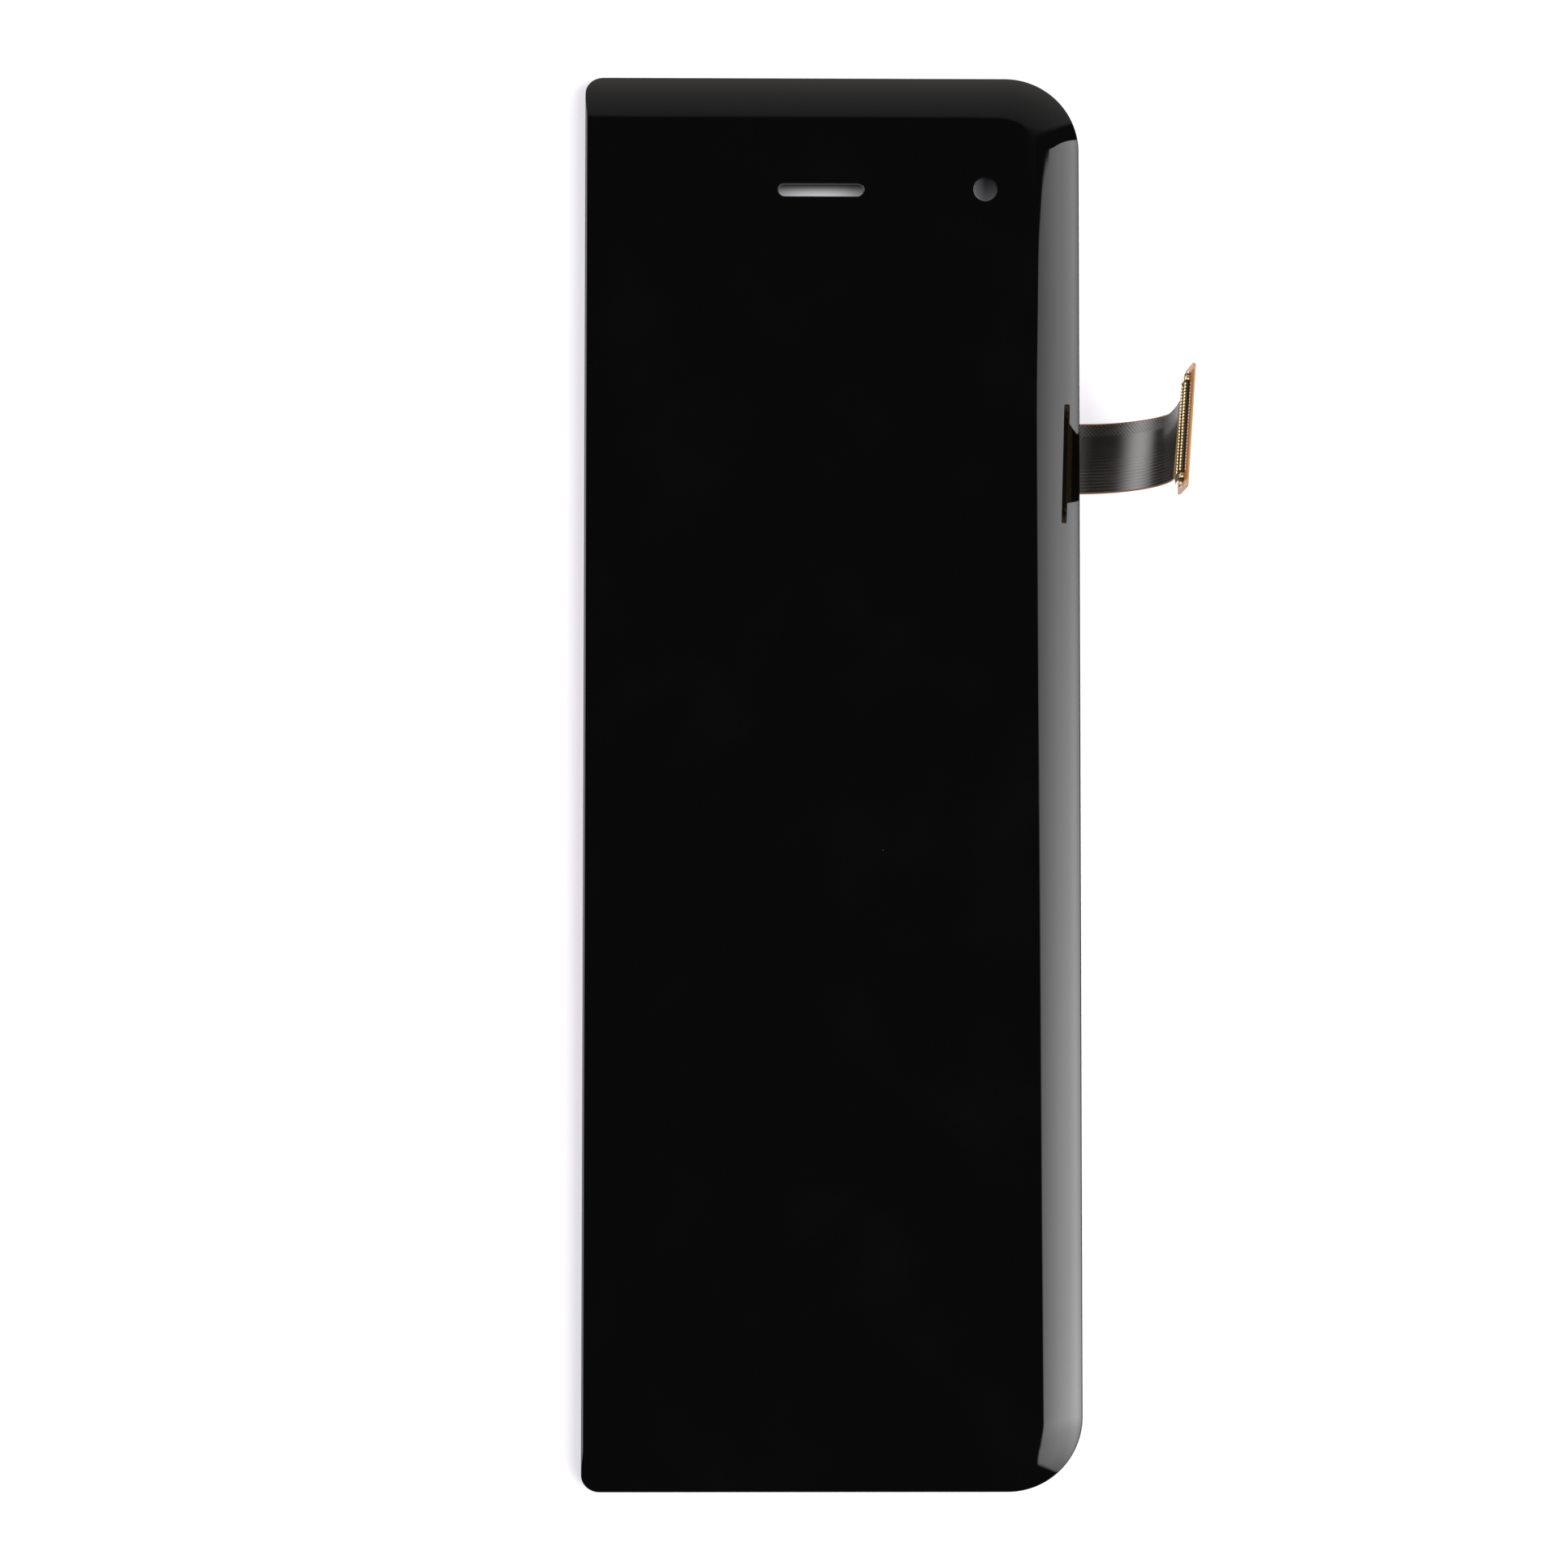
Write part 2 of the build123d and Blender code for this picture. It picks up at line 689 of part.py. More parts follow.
with BuildPart() as memory_chip:
    with BuildSketch(Plane.XY.offset(flex_rear)):
        with Locations(on_body(memory_place)):
            Rectangle(memory_width, memory_length)
    extrude(amount=-chip_height)
    chamfer(memory_chip.faces().sort_by(Axis.Z)[0].edges(), chip_edge)
memory_chip.part.label = "memory_chip"
export_step(memory_chip.part, "parts/memory_chip.step")

# Power inductors
with BuildPart() as inductors:
    for number in range(inductor_count):
        with BuildSketch(Plane.XY.offset(flex_rear)):
            with Locations(on_body((inductor_row[0] + number * inductor_pitch, inductor_row[1]))):
                Rectangle(inductor_width, inductor_length)
        extrude(amount=-inductor_height)
    chamfer(inductors.faces().group_by(Axis.Z)[0].edges(), chip_edge)
inductors.part.label = "inductors"
export_step(inductors.part, "parts/inductors.step")

# Chip capacitors: a ceramic body with slightly thicker metal ends
with BuildPart() as capacitors:
    for number in range(capacitor_count):
        capacitor_x, capacitor_y = on_body(
            (capacitor_row[0] + number * capacitor_pitch, capacitor_row[1])
        )
        with BuildSketch(Plane.XY.offset(flex_rear)):
            with Locations((capacitor_x, capacitor_y)):
                Rectangle(capacitor_width - 2 * capacitor_skin, capacitor_length)
        extrude(amount=-capacitor_height + capacitor_skin)
        with BuildSketch(Plane.XY.offset(flex_rear)):
            end_y = (capacitor_length - capacitor_end) / 2
            with Locations((capacitor_x, capacitor_y - end_y), (capacitor_x, capacitor_y + end_y)):
                Rectangle(capacitor_width, capacitor_end)
        extrude(amount=-capacitor_height)
capacitors.part.label = "capacitors"
export_step(capacitors.part, "parts/capacitors.step")

# Chip resistors
with BuildPart() as resistors:
    for number in range(resistor_count):
        with BuildSketch(Plane.XY.offset(flex_rear)):
            with Locations(on_body((resistor_row[0] + number * resistor_pitch, resistor_row[1]))):
                Rectangle(resistor_width, resistor_length)
        extrude(amount=-resistor_height)
resistors.part.label = "resistors"
export_step(resistors.part, "parts/resistors.step")

# Stiffener on the back of the connector board
with BuildPart() as board_stiffener:
    with BuildSketch(board_plane.offset(-flex_half)):
        RectangleRounded(
            board_length - 2 * stiffener_setback,
            board_width - 2 * stiffener_setback,
            board_corner,
        )
    extrude(amount=-stiffener_thickness)
board_stiffener.part.label = "board_stiffener"
export_step(board_stiffener.part, "parts/board_stiffener.step")


def wrap_profile(outer, inner, thickness, foot, reach):
    """Face of strip metal that runs from a solder foot up over a wall and down inside it."""
    with BuildSketch() as profile:
        with BuildLine():
            Polyline(
                (outer, board_face),
                (outer + foot, board_face),
                (outer + foot, board_face + thickness),
                (outer + thickness, board_face + thickness),
                (outer + thickness, housing_top),
                (outer, housing_top + thickness),
                (inner, housing_top + thickness),
                (inner - thickness, housing_top),
                (inner - thickness, housing_top - reach),
                (inner, housing_top - reach),
                (inner, housing_top),
                (outer, housing_top),
                close=True,
            )
        make_face()
    return profile.sketch


# Contacts: two rows of formed strips over the long walls
row_length = (contact_count - 1) * contact_pitch
housing_side = housing_width / 2
contact_profile = wrap_profile(
    housing_side, housing_side - housing_side_wall, contact_thickness, contact_foot, contact_reach
)
with BuildPart() as connector_contacts:
    for number in range(contact_count):
        along = number * contact_pitch - row_length / 2
        station = connector_centre + connector_plane.x_dir * along
        for side in (-1, 1):
            across = Plane(
                origin=station,
                x_dir=connector_plane.y_dir * side,
                z_dir=connector_plane.x_dir * side,
            )
            with BuildSketch(across):
                add(contact_profile)
            extrude(amount=contact_width / 2, both=True)
connector_contacts.part.label = "connector_contacts"
export_step(connector_contacts.part, "parts/connector_contacts.step")

# Connector housing: a low wall round a pocket, on a flange moulded over the contacts
flange_width = housing_width + 2 * (contact_thickness + flange_cover)
with BuildPart() as connector_housing:
    with BuildSketch(connector_plane.offset(board_face)):
        RectangleRounded(housing_length, housing_width, housing_corner)
        with GridLocations(housing_length - end_block_length, 0, 2, 1):
            RectangleRounded(end_block_length, end_block_width, housing_corner)
    extrude(amount=housing_height)
    with BuildSketch(connector_plane.offset(board_face)):
        Rectangle(housing_length - end_block_length, flange_width)
    extrude(amount=flange_height)
    with BuildSketch(connector_plane.offset(housing_top)):
        RectangleRounded(
            housing_length - 2 * housing_end_wall,
            housing_width - 2 * housing_side_wall,
            housing_corner,
        )
    extrude(amount=-(housing_height - pocket_floor), mode=Mode.SUBTRACT)
    add(connector_contacts.part, mode=Mode.SUBTRACT)
connector_housing.part.label = "connector_housing"
export_step(connector_housing.part, "parts/connector_housing.step")


# Hold-down clips over the two end walls, each with a narrower lip in the pocket
housing_end = housing_length / 2
pocket_end = housing_end - housing_end_wall
clip_profile = wrap_profile(housing_end, pocket_end, clip_thickness, clip_foot, clip_reach)
with BuildPart() as connector_clips:
    for side in (-1, 1):
        lengthwise = Plane(
            origin=connector_centre,
            x_dir=connector_plane.x_dir * side,
            z_dir=connector_plane.y_dir * -side,
        )
        with BuildSketch(lengthwise):
            add(clip_profile)
        extrude(amount=clip_lip_width / 2, both=True)
        with BuildSketch(lengthwise):
            add(clip_profile)
            with Locations((pocket_end, housing_top)):
                Rectangle(
                    2 * clip_thickness,
                    2 * housing_height,
                    align=(Align.MAX, Align.CENTER),
                    mode=Mode.SUBTRACT,
                )
        extrude(amount=clip_width / 2, both=True)
connector_clips.part.label = "connector_clips"
export_step(connector_clips.part, "parts/connector_clips.step")
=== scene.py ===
from math import cos, hypot, pi, radians, sin, sqrt, tan

import bpy
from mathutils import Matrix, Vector
from mathutils.geometry import tessellate_polygon


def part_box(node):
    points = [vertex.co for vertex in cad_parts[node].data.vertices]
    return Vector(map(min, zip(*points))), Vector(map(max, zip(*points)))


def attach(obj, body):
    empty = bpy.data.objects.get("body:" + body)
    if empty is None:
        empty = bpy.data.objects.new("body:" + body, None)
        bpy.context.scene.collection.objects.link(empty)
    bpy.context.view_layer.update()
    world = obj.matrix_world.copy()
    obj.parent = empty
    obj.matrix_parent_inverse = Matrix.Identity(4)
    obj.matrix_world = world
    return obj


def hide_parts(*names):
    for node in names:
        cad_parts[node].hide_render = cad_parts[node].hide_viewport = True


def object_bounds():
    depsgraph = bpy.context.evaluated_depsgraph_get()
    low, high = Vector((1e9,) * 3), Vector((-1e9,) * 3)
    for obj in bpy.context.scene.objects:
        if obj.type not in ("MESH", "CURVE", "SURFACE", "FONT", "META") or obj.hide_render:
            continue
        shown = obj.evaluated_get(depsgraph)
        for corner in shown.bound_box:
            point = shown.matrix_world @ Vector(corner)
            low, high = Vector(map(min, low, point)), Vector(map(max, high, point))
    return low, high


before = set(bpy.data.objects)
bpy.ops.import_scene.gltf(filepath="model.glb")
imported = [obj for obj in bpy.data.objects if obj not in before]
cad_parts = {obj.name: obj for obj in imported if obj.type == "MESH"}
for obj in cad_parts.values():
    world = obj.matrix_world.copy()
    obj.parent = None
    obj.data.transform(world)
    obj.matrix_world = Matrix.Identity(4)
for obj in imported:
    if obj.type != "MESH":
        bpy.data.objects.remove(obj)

# Looks of a phone display module that lies face up on a white table. Sizes are
# metres: +X is right and +Y is up seen from the front, +Z points out of the glass.

cad_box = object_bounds()
scene = bpy.context.scene
scene.view_settings.view_transform = "Standard"
mm = 0.001

# Sizes and places of the module, as in the CAD model
glass_right = 27.4 * mm
glass_top = 78.0 * mm
glass_front = 1.74 * mm
glass_thickness = 0.55 * mm
glass_bevel = 0.4 * mm
outer_corner = 8.2 * mm
spine_corner = 2.0 * mm
bend_radius = 9.5 * mm
bend_width = 5.0 * mm
slot_length = 9.4 * mm
slot_width = 1.4 * mm
slot_bevel = 0.12 * mm
slot_sag = 0.12 * mm  # the slot is drawn this much lower than in the CAD model, as in the photo
display_middle = -1.3 * mm  # X of the display's centre line
slot_height = 65.3 * mm  # Y of the earpiece slot and the camera window
camera_window = Vector((display_middle + 18.2 * mm, slot_height, 0))
window_radius = 1.3 * mm
tail_start = Vector((27.5 * mm, 35.58 * mm, -0.567 * mm))
curl_radius = 9.7 * mm
curl_turn = radians(85.0)
curl_skew = radians(5.1)
curl_rise_share = 0.63
board_skew = radians(6.4)
board_middle = Vector((37.723 * mm, 37.107 * mm, 12.669 * mm))
board_length = 13.8 * mm
board_width = 4.3 * mm
board_face = 0.06 * mm  # from the middle of the board's film
connector_drop = 0.25 * mm
housing_height = 0.46 * mm
end_block_half = 1.25 * mm  # across the connector
contact_count = 28
contact_pitch = 0.35 * mm
shield_end = 14.2 * mm  # along the tail, from where the curl begins
flex_rear = 0.05 * mm  # height of the flex body's rear face

# Directions of the curled tail and of the connector board on its end
upward = Vector((0, 0, 1))
curl_way = Vector((cos(curl_skew), -sin(curl_skew), 0))
curl_axis = Vector((sin(curl_skew), cos(curl_skew), 0))
edge_normal = curl_axis - curl_way * tan(curl_skew) - upward * (curl_rise_share * tan(curl_skew))
tail_end_way = curl_way * cos(curl_turn) + upward * sin(curl_turn)
board_normal = upward * cos(curl_turn) - curl_way * sin(curl_turn)
board_along = curl_axis * cos(board_skew) - tail_end_way * sin(board_skew)
board_down = board_normal.cross(board_along)
connector_middle = board_middle + board_down * connector_drop


class Nodes:
    """Adds shader nodes to one tree and links them on the way."""

    def __init__(self, tree):
        self.tree = tree

    def add(self, kind, inputs, **settings):
        node = self.tree.nodes.new(kind)
        for name, value in settings.items():
            setattr(node, name, value)
        for name, value in inputs.items():
            self.feed(node.inputs[name], value)
        return node

    def feed(self, socket, value):
        if isinstance(value, bpy.types.NodeSocket):
            self.tree.links.new(value, socket)
        else:
            socket.default_value = value

    def math(self, operation, first, second=0.0):
        return self.add("ShaderNodeMath", {0: first, 1: second}, operation=operation).outputs[0]

    def product(self, *values):
        total = values[0]
        for value in values[1:]:
            total = self.math("MULTIPLY", total, value)
        return total

    def vector(self, operation, first, second):
        return self.add("ShaderNodeVectorMath", {0: first, 1: second}, operation=operation)

    def dot(self, first, second):
        return self.vector("DOT_PRODUCT", first, second).outputs["Value"]

    def step(self, value, low, high):
        """0 at low and 1 at high, with a soft turn between; low may be the larger one."""
        inputs = {"Value": value, "From Min": low, "From Max": high}
        return self.add("ShaderNodeMapRange", inputs, interpolation_type="SMOOTHSTEP").outputs[0]

    def between(self, value, low, high, soft):
        """1 between two values, fading to 0 within the soft distance outside them."""
        return self.product(self.step(value, low - soft, low), self.step(value, high + soft, high))

    def scaled(self, value, low, high):
        """A value from 0 to 1 stretched to run from low to high."""
        return self.add("ShaderNodeMapRange", {"Value": value, "To Min": low, "To Max": high}).outputs[0]

    def profile(self, value, stops):
        """Level read off a line through (value, level) stops."""
        start, end = stops[0][0], stops[-1][0]
        peak = max(level for _, level in stops)
        place = self.add("ShaderNodeMapRange", {"Value": value, "From Min": start, "From Max": end})
        ramp = self.add("ShaderNodeValToRGB", {"Fac": place.outputs[0]})
        elements = ramp.color_ramp.elements
        while len(elements) < len(stops):
            elements.new(0.5)
        for element, (at, level) in zip(elements, stops):
            element.position = (at - start) / (end - start)
            element.color = (level / peak, level / peak, level / peak, 1)
        return self.math("MULTIPLY", ramp.outputs["Color"], peak)

    def noise(self, where, size, detail=2.0):
        inputs = {"Vector": where, "Scale": 1 / size, "Detail": detail}
        return self.add("ShaderNodeTexNoise", inputs).outputs["Fac"]

    def cells(self, where, size, feature="F1"):
        return self.add("ShaderNodeTexVoronoi", {"Vector": where, "Scale": 1 / size}, feature=feature)

    def stripes(self, value, pitch, share, soft=0.15):
        """1 on stripes that take the given share of the pitch."""
        phase = self.math("FRACT", self.math("DIVIDE", value, pitch))
        off_middle = self.math("ABSOLUTE", self.math("SUBTRACT", phase, 0.5))
        return self.step(off_middle, share / 2 + soft / 2, share / 2 - soft / 2)

    def grid(self, first, second, pitch, share, soft=0.15):
        """1 where stripes across two axes meet."""
        return self.product(self.stripes(first, pitch, share, soft), self.stripes(second, pitch, share, soft))

    def hatch(self, first, second, pitch, share, soft=0.15):
        """1 on crossed lines that run at 45 degrees to two axes."""
        rising = self.stripes(self.math("ADD", first, second), pitch, share, soft)
        falling = self.stripes(self.math("SUBTRACT", first, second), pitch, share, soft)
        return self.math("MAXIMUM", rising, falling)

    def mix(self, factor, first, second):
        node = self.add("ShaderNodeMix", {0: factor}, data_type="RGBA")
        self.feed(node.inputs[6], first)
        self.feed(node.inputs[7], second)
        return node.outputs[2]

    def tint(self, value, low, high):
        """Colour that runs from low to high as the value runs from 0 to 1."""
        return self.mix(value, (*low, 1), (*high, 1))


class Finish(Nodes):
    """One procedural material; its coordinates are metres in the module's frame."""

    def __init__(self, name, color, roughness, **sockets):
        self.material = bpy.data.materials.new(name)
        self.material.use_nodes = True
        super().__init__(self.material.node_tree)
        self.shader = self.tree.nodes["Principled BSDF"]
        self.shader.inputs["Base Color"].default_value = (*color, 1)
        self.shader.inputs["Roughness"].default_value = roughness
        for socket, value in sockets.items():
            self.shader.inputs[socket.replace("_", " ").title().replace("Ior", "IOR")].default_value = value
        self.place = self.add("ShaderNodeTexCoord", {}).outputs["Object"]
        axes = self.add("ShaderNodeSeparateXYZ", {0: self.place})
        self.x, self.y, self.z = axes.outputs

    def color(self, value):
        self.feed(self.shader.inputs["Base Color"], value)

    def roughness(self, value):
        self.feed(self.shader.inputs["Roughness"], value)

    def drawn_noise(self, stretch, size, detail=2.0):
        """Noise over the coordinates times a factor for each axis; a small one draws it out."""
        return self.noise(self.vector("MULTIPLY", self.place, stretch).outputs["Vector"], size, detail)

    def bump(self, height, depth, strength=1.0):
        """Relief of the given depth in metres; a second call adds to the first."""
        inputs = {"Height": height, "Distance": depth, "Strength": strength}
        node = self.add("ShaderNodeBump", inputs)
        normal = self.shader.inputs["Normal"]
        if normal.is_linked:
            self.feed(node.inputs["Normal"], normal.links[0].from_socket)
        self.feed(normal, node.outputs["Normal"])

    def paint(self, *targets):
        """Gives the finish to CAD nodes, named, or to pieces."""
        for target in targets:
            mesh = (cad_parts[target] if isinstance(target, str) else target).data
            mesh.materials.clear()
            mesh.materials.append(self.material)


def studio_light():
    """Dark overhead, a bright panel on the right, a dim one beyond the top, white on the left."""
    world = bpy.data.worlds.new("studio")
    world.use_nodes = True
    scene.world = world
    sky = Nodes(world.node_tree)
    world.node_tree.nodes.clear()
    direction = sky.add("ShaderNodeTexCoord", {}).outputs["Generated"]
    axes = sky.add("ShaderNodeSeparateXYZ", {0: direction})
    # Both spreads are 0 straight up and 1 at the horizon
    reach = sky.math("MAXIMUM", sky.math("ADD", axes.outputs["Z"], 1.0), 0.05)
    across = sky.math("DIVIDE", axes.outputs["X"], reach)
    along = sky.math("DIVIDE", axes.outputs["Y"], reach)

    # Right panel: each limit is where its edge runs
    inner_limit = sky.profile(along, [
        (-1.0, 0.45), (-0.33, 0.206), (-0.156, 0.151), (-0.07, 0.109), (-0.034, 0.093), (0.01, 0.079),
        (0.047, 0.064), (0.081, 0.056), (0.12, 0.05), (1.0, 0.05),
    ])
    upper_limit = sky.profile(across, [
        (0.0, 0.02), (0.05, 0.07), (0.084, 0.097), (0.124, 0.106), (0.164, 0.111), (0.204, 0.114),
        (0.269, 0.128), (0.367, 0.166), (0.473, 0.204), (0.629, 0.255), (1.0, 0.38),
    ])
    far_edge = sky.math("ADD", along, sky.math("MULTIPLY", across, 0.85))
    right_panel = sky.product(
        sky.step(sky.math("SUBTRACT", across, inner_limit), -0.008, 0.01),
        sky.step(sky.math("SUBTRACT", along, upper_limit), 0.0015, -0.0015),
        sky.step(far_edge, -0.175, -0.135),
        sky.profile(across, [
            (0.04, 2.1), (0.14, 3.3), (0.31, 5.4), (0.43, 6.4), (0.56, 8.0), (0.64, 6.0),
            (0.72, 1.4), (0.8, 0.5), (1.0, 0.4),
        ]),
        sky.profile(along, [
            (-0.7, 0.12), (-0.53, 0.3), (-0.45, 0.42), (-0.16, 0.9), (-0.075, 1.2), (-0.05, 1.07),
            (-0.013, 1.0), (0.033, 0.83), (0.09, 0.62), (0.25, 0.66),
        ]),
    )

    # Dim panel beyond the top, with its right end turned down
    lower_limit = sky.profile(across, [
        (0.0, 0.152), (0.034, 0.152), (0.039, 0.12), (0.05, 0.122), (0.065, 0.132), (0.137, 0.164),
        (0.306, 0.242), (0.462, 0.326), (0.7, 0.45), (1.0, 0.6),
    ])
    top_panel = sky.product(
        sky.step(sky.math("SUBTRACT", along, lower_limit), -0.02, 0.02),
        sky.step(across, 0.8, 0.55),
        sky.profile(along, [(0.12, 0.18), (0.2, 0.27), (0.41, 0.45), (0.72, 0.8), (1.0, 0.7)]),
    )

    # White surroundings low on the left
    left_side = sky.product(
        sky.profile(across, [
            (-1.0, 3.0), (-0.86, 4.6), (-0.74, 5.2), (-0.62, 4.0), (-0.52, 1.7), (-0.41, 0.0),
        ]),
        sky.step(sky.math("ABSOLUTE", along), 0.5, 0.3),
    )

    dark_rest = 0.03
    level = sky.math("ADD", sky.math("ADD", right_panel, top_panel), sky.math("ADD", left_side, dark_rest))
    # The light beyond the top is a little warmer
    hue = sky.mix(sky.math("MINIMUM", top_panel, 1.0), (1.0, 0.99, 1.0, 1), (1.0, 0.965, 0.89, 1))
    light = sky.add("ShaderNodeBackground", {"Color": hue, "Strength": level})
    backdrop = sky.add("ShaderNodeBackground", {"Color": (1, 1, 1, 1), "Strength": 1.0})
    camera_ray = sky.add("ShaderNodeLightPath", {}).outputs["Is Camera Ray"]
    choice = sky.add("ShaderNodeMixShader", {0: camera_ray, 1: light.outputs[0], 2: backdrop.outputs[0]})
    sky.add("ShaderNodeOutputWorld", {"Surface": choice.outputs[0]})


def white_table():
    """Glowing white floor that keeps the module's shadow, with painted shade and painted light under the slot
    and the camera window; it is clear from below.
    """
    half = 3.0
    shade_edge = 0.8 * mm
    level = cad_box[0].z
    mesh = bpy.data.meshes.new("table")
    corners = [(-half, -half, level), (half, -half, level), (half, half, level), (-half, half, level)]
    mesh.from_pydata(corners, [], [(0, 1, 2, 3)])
    table = bpy.data.objects.new("table", mesh)
    scene.collection.objects.link(table)
    material = bpy.data.materials.new("white_table")
    material.use_nodes = True
    material.node_tree.nodes.clear()
    build = Nodes(material.node_tree)
    axes = build.add("ShaderNodeSeparateXYZ", {0: build.add("ShaderNodeTexCoord", {}).outputs["Object"]})
    x, y = axes.outputs["X"], axes.outputs["Y"]
    # Painted shade on the table under the slot and the window, only for rays seen straight through them
    at_slot = build.between(x, display_middle - 6.1 * mm, display_middle + 6.1 * mm, shade_edge)
    at_window = build.between(x, camera_window.x - 2.0 * mm, camera_window.x + 2.0 * mm, shade_edge)
    at_height = build.between(y, slot_height - 1.9 * mm, slot_height + 1.9 * mm, shade_edge)
    rays = build.add("ShaderNodeLightPath", {}).outputs
    seen = build.math("MAXIMUM", rays["Is Camera Ray"], rays["Is Transmission Ray"])
    painted_shade = build.product(build.math("MAXIMUM", at_slot, at_window), at_height, seen)
    # Painted light inside that shade, where light falls through the slot and the window
    painted_light_slot = build.product(
        build.step(y, slot_height + 1.0 * mm, slot_height - 0.4 * mm),
        build.between(x, -1.7 * mm, -0.7 * mm, 8.5 * mm),
        0.62,
    )
    painted_light_window = build.math("MULTIPLY", build.step(x, 10.0 * mm, 12.0 * mm), 0.3)
    painted_patch_level = build.math("ADD", build.math("MAXIMUM", painted_light_slot, painted_light_window), 0.025)
    share = build.math("SUBTRACT", 1.0, build.product(painted_shade, build.math("SUBTRACT", 1.0, painted_patch_level)))
    lit_color = build.mix(share, (0, 0, 0, 1), (0.62, 0.62, 0.63, 1))
    lit = build.add("ShaderNodeBsdfDiffuse", {"Color": lit_color})
    glow_level = build.math("MULTIPLY", share, 0.53)
    glow = build.add("ShaderNodeEmission", {"Color": (0.97, 0.95, 1, 1), "Strength": glow_level})
    top = build.add("ShaderNodeAddShader", {0: lit.outputs[0], 1: glow.outputs[0]})
    clear = build.add("ShaderNodeBsdfTransparent", {})
    below = build.add("ShaderNodeNewGeometry", {}).outputs["Backfacing"]
    choice = build.add("ShaderNodeMixShader", {0: below, 1: top.outputs[0], 2: clear.outputs[0]})
    build.add("ShaderNodeOutputMaterial", {"Surface": choice.outputs[0]})
    mesh.materials.append(material)


def photo_camera():
    """Camera over the module, with the photograph's framing."""
    data = bpy.data.cameras.new("camera")
    data.sensor_width = 36.0
    data.lens = 85.49
    camera = bpy.data.objects.new("camera", data)
    camera.location = (-0.0101, -0.0207, 0.410)
    camera.rotation_euler = (radians(2.81), radians(-0.67), radians(0.04))
    scene.collection.objects.link(camera)
    scene.camera = camera


def new_piece(name, points, faces):
    """Mesh that rides on the module; edges that turn by more than 40 degrees stay sharp."""
    mesh = bpy.data.meshes.new(name)
    mesh.from_pydata(points, [], faces)
    mesh.validate()
    mesh.update()
    mesh.polygons.foreach_set("use_smooth", [True] * len(mesh.polygons))
    mesh.set_sharp_from_angle(angle=radians(40.0))
    piece = bpy.data.objects.new(name, mesh)
    scene.collection.objects.link(piece)
    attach(piece, "root")
    return piece


def strip_between(first, second, count):
    """Faces between two closed loops of points, given by their first indices."""
    following = [(number + 1) % count for number in range(count)]
    return [
        (first + number, first + after, second + after, second + number)
        for number, after in enumerate(following)
    ]


def glass_loop(inset):
    """Plan of the glass drawn in by the inset, anticlockwise from its right side."""
    right = glass_right - inset
    top = glass_top - inset
    outer = max(outer_corner - inset, 0.02 * mm)
    inner = max(spine_corner - inset, 0.02 * mm)
    corner_x, corner_y = right - outer, top - outer
    spine_x, spine_y = inner - right, top - inner
    flat_y = glass_top - bend_width - 1.0 * mm
    corner_turns = [step * pi / 80 for step in range(41)]
    spine_turns = [step * pi / 32 for step in range(17)]
    half = [(corner_x + outer * cos(turn), corner_y + outer * sin(turn)) for turn in corner_turns]
    half += [(corner_x + (spine_x - corner_x) * step / 16, top) for step in range(1, 16)]
    half += [(spine_x - inner * sin(turn), spine_y + inner * cos(turn)) for turn in spine_turns]
    half += [(-right, spine_y + (flat_y - spine_y) * step / 16) for step in range(1, 17)]
    half += [(-right, flat_y / 3)]
    lower = [(x, -y) for x, y in reversed(half)]
    side = [(right, corner_y * (step / 8 - 1)) for step in range(1, 16)]
    return half + lower + side


def bent_height(x, y, depth):
    """Height of the bent surface that lies the given depth behind the front."""
    corner_x = max(x - glass_right + outer_corner, 0.0)
    corner_y = max(abs(y) - glass_top + outer_corner, 0.0)
    if corner_x > 0 and corner_y > 0:
        past_edge = hypot(corner_x, corner_y) - outer_corner
    else:
        past_edge = max(corner_x, corner_y) - outer_corner
        past_edge = max(past_edge, max(x - glass_right, abs(y) - glass_top))
    across_bend = max(bend_width + past_edge, 0.0)
    return glass_front - bend_radius + sqrt((bend_radius - depth) ** 2 - across_bend**2)


def rounding(inset, radius):
    """Drop of a rounded edge at a distance in from it."""
    short = max(radius - inset, 0.0)
    return radius - sqrt(radius**2 - short**2)


def slot_loop(spread, height):
    """Outline of the earpiece slot, grown by the spread."""
    steps = 24
    straight = (slot_length - slot_width) / 2
    radius = slot_width / 2 + spread
    loop = []
    for side in (1, -1):
        for step in range(steps + 1):
            angle = step * pi / steps - pi / 2
            x = display_middle + side * (straight + radius * cos(angle))
            loop.append((x, slot_height - slot_sag + side * radius * sin(angle), height))
    return loop


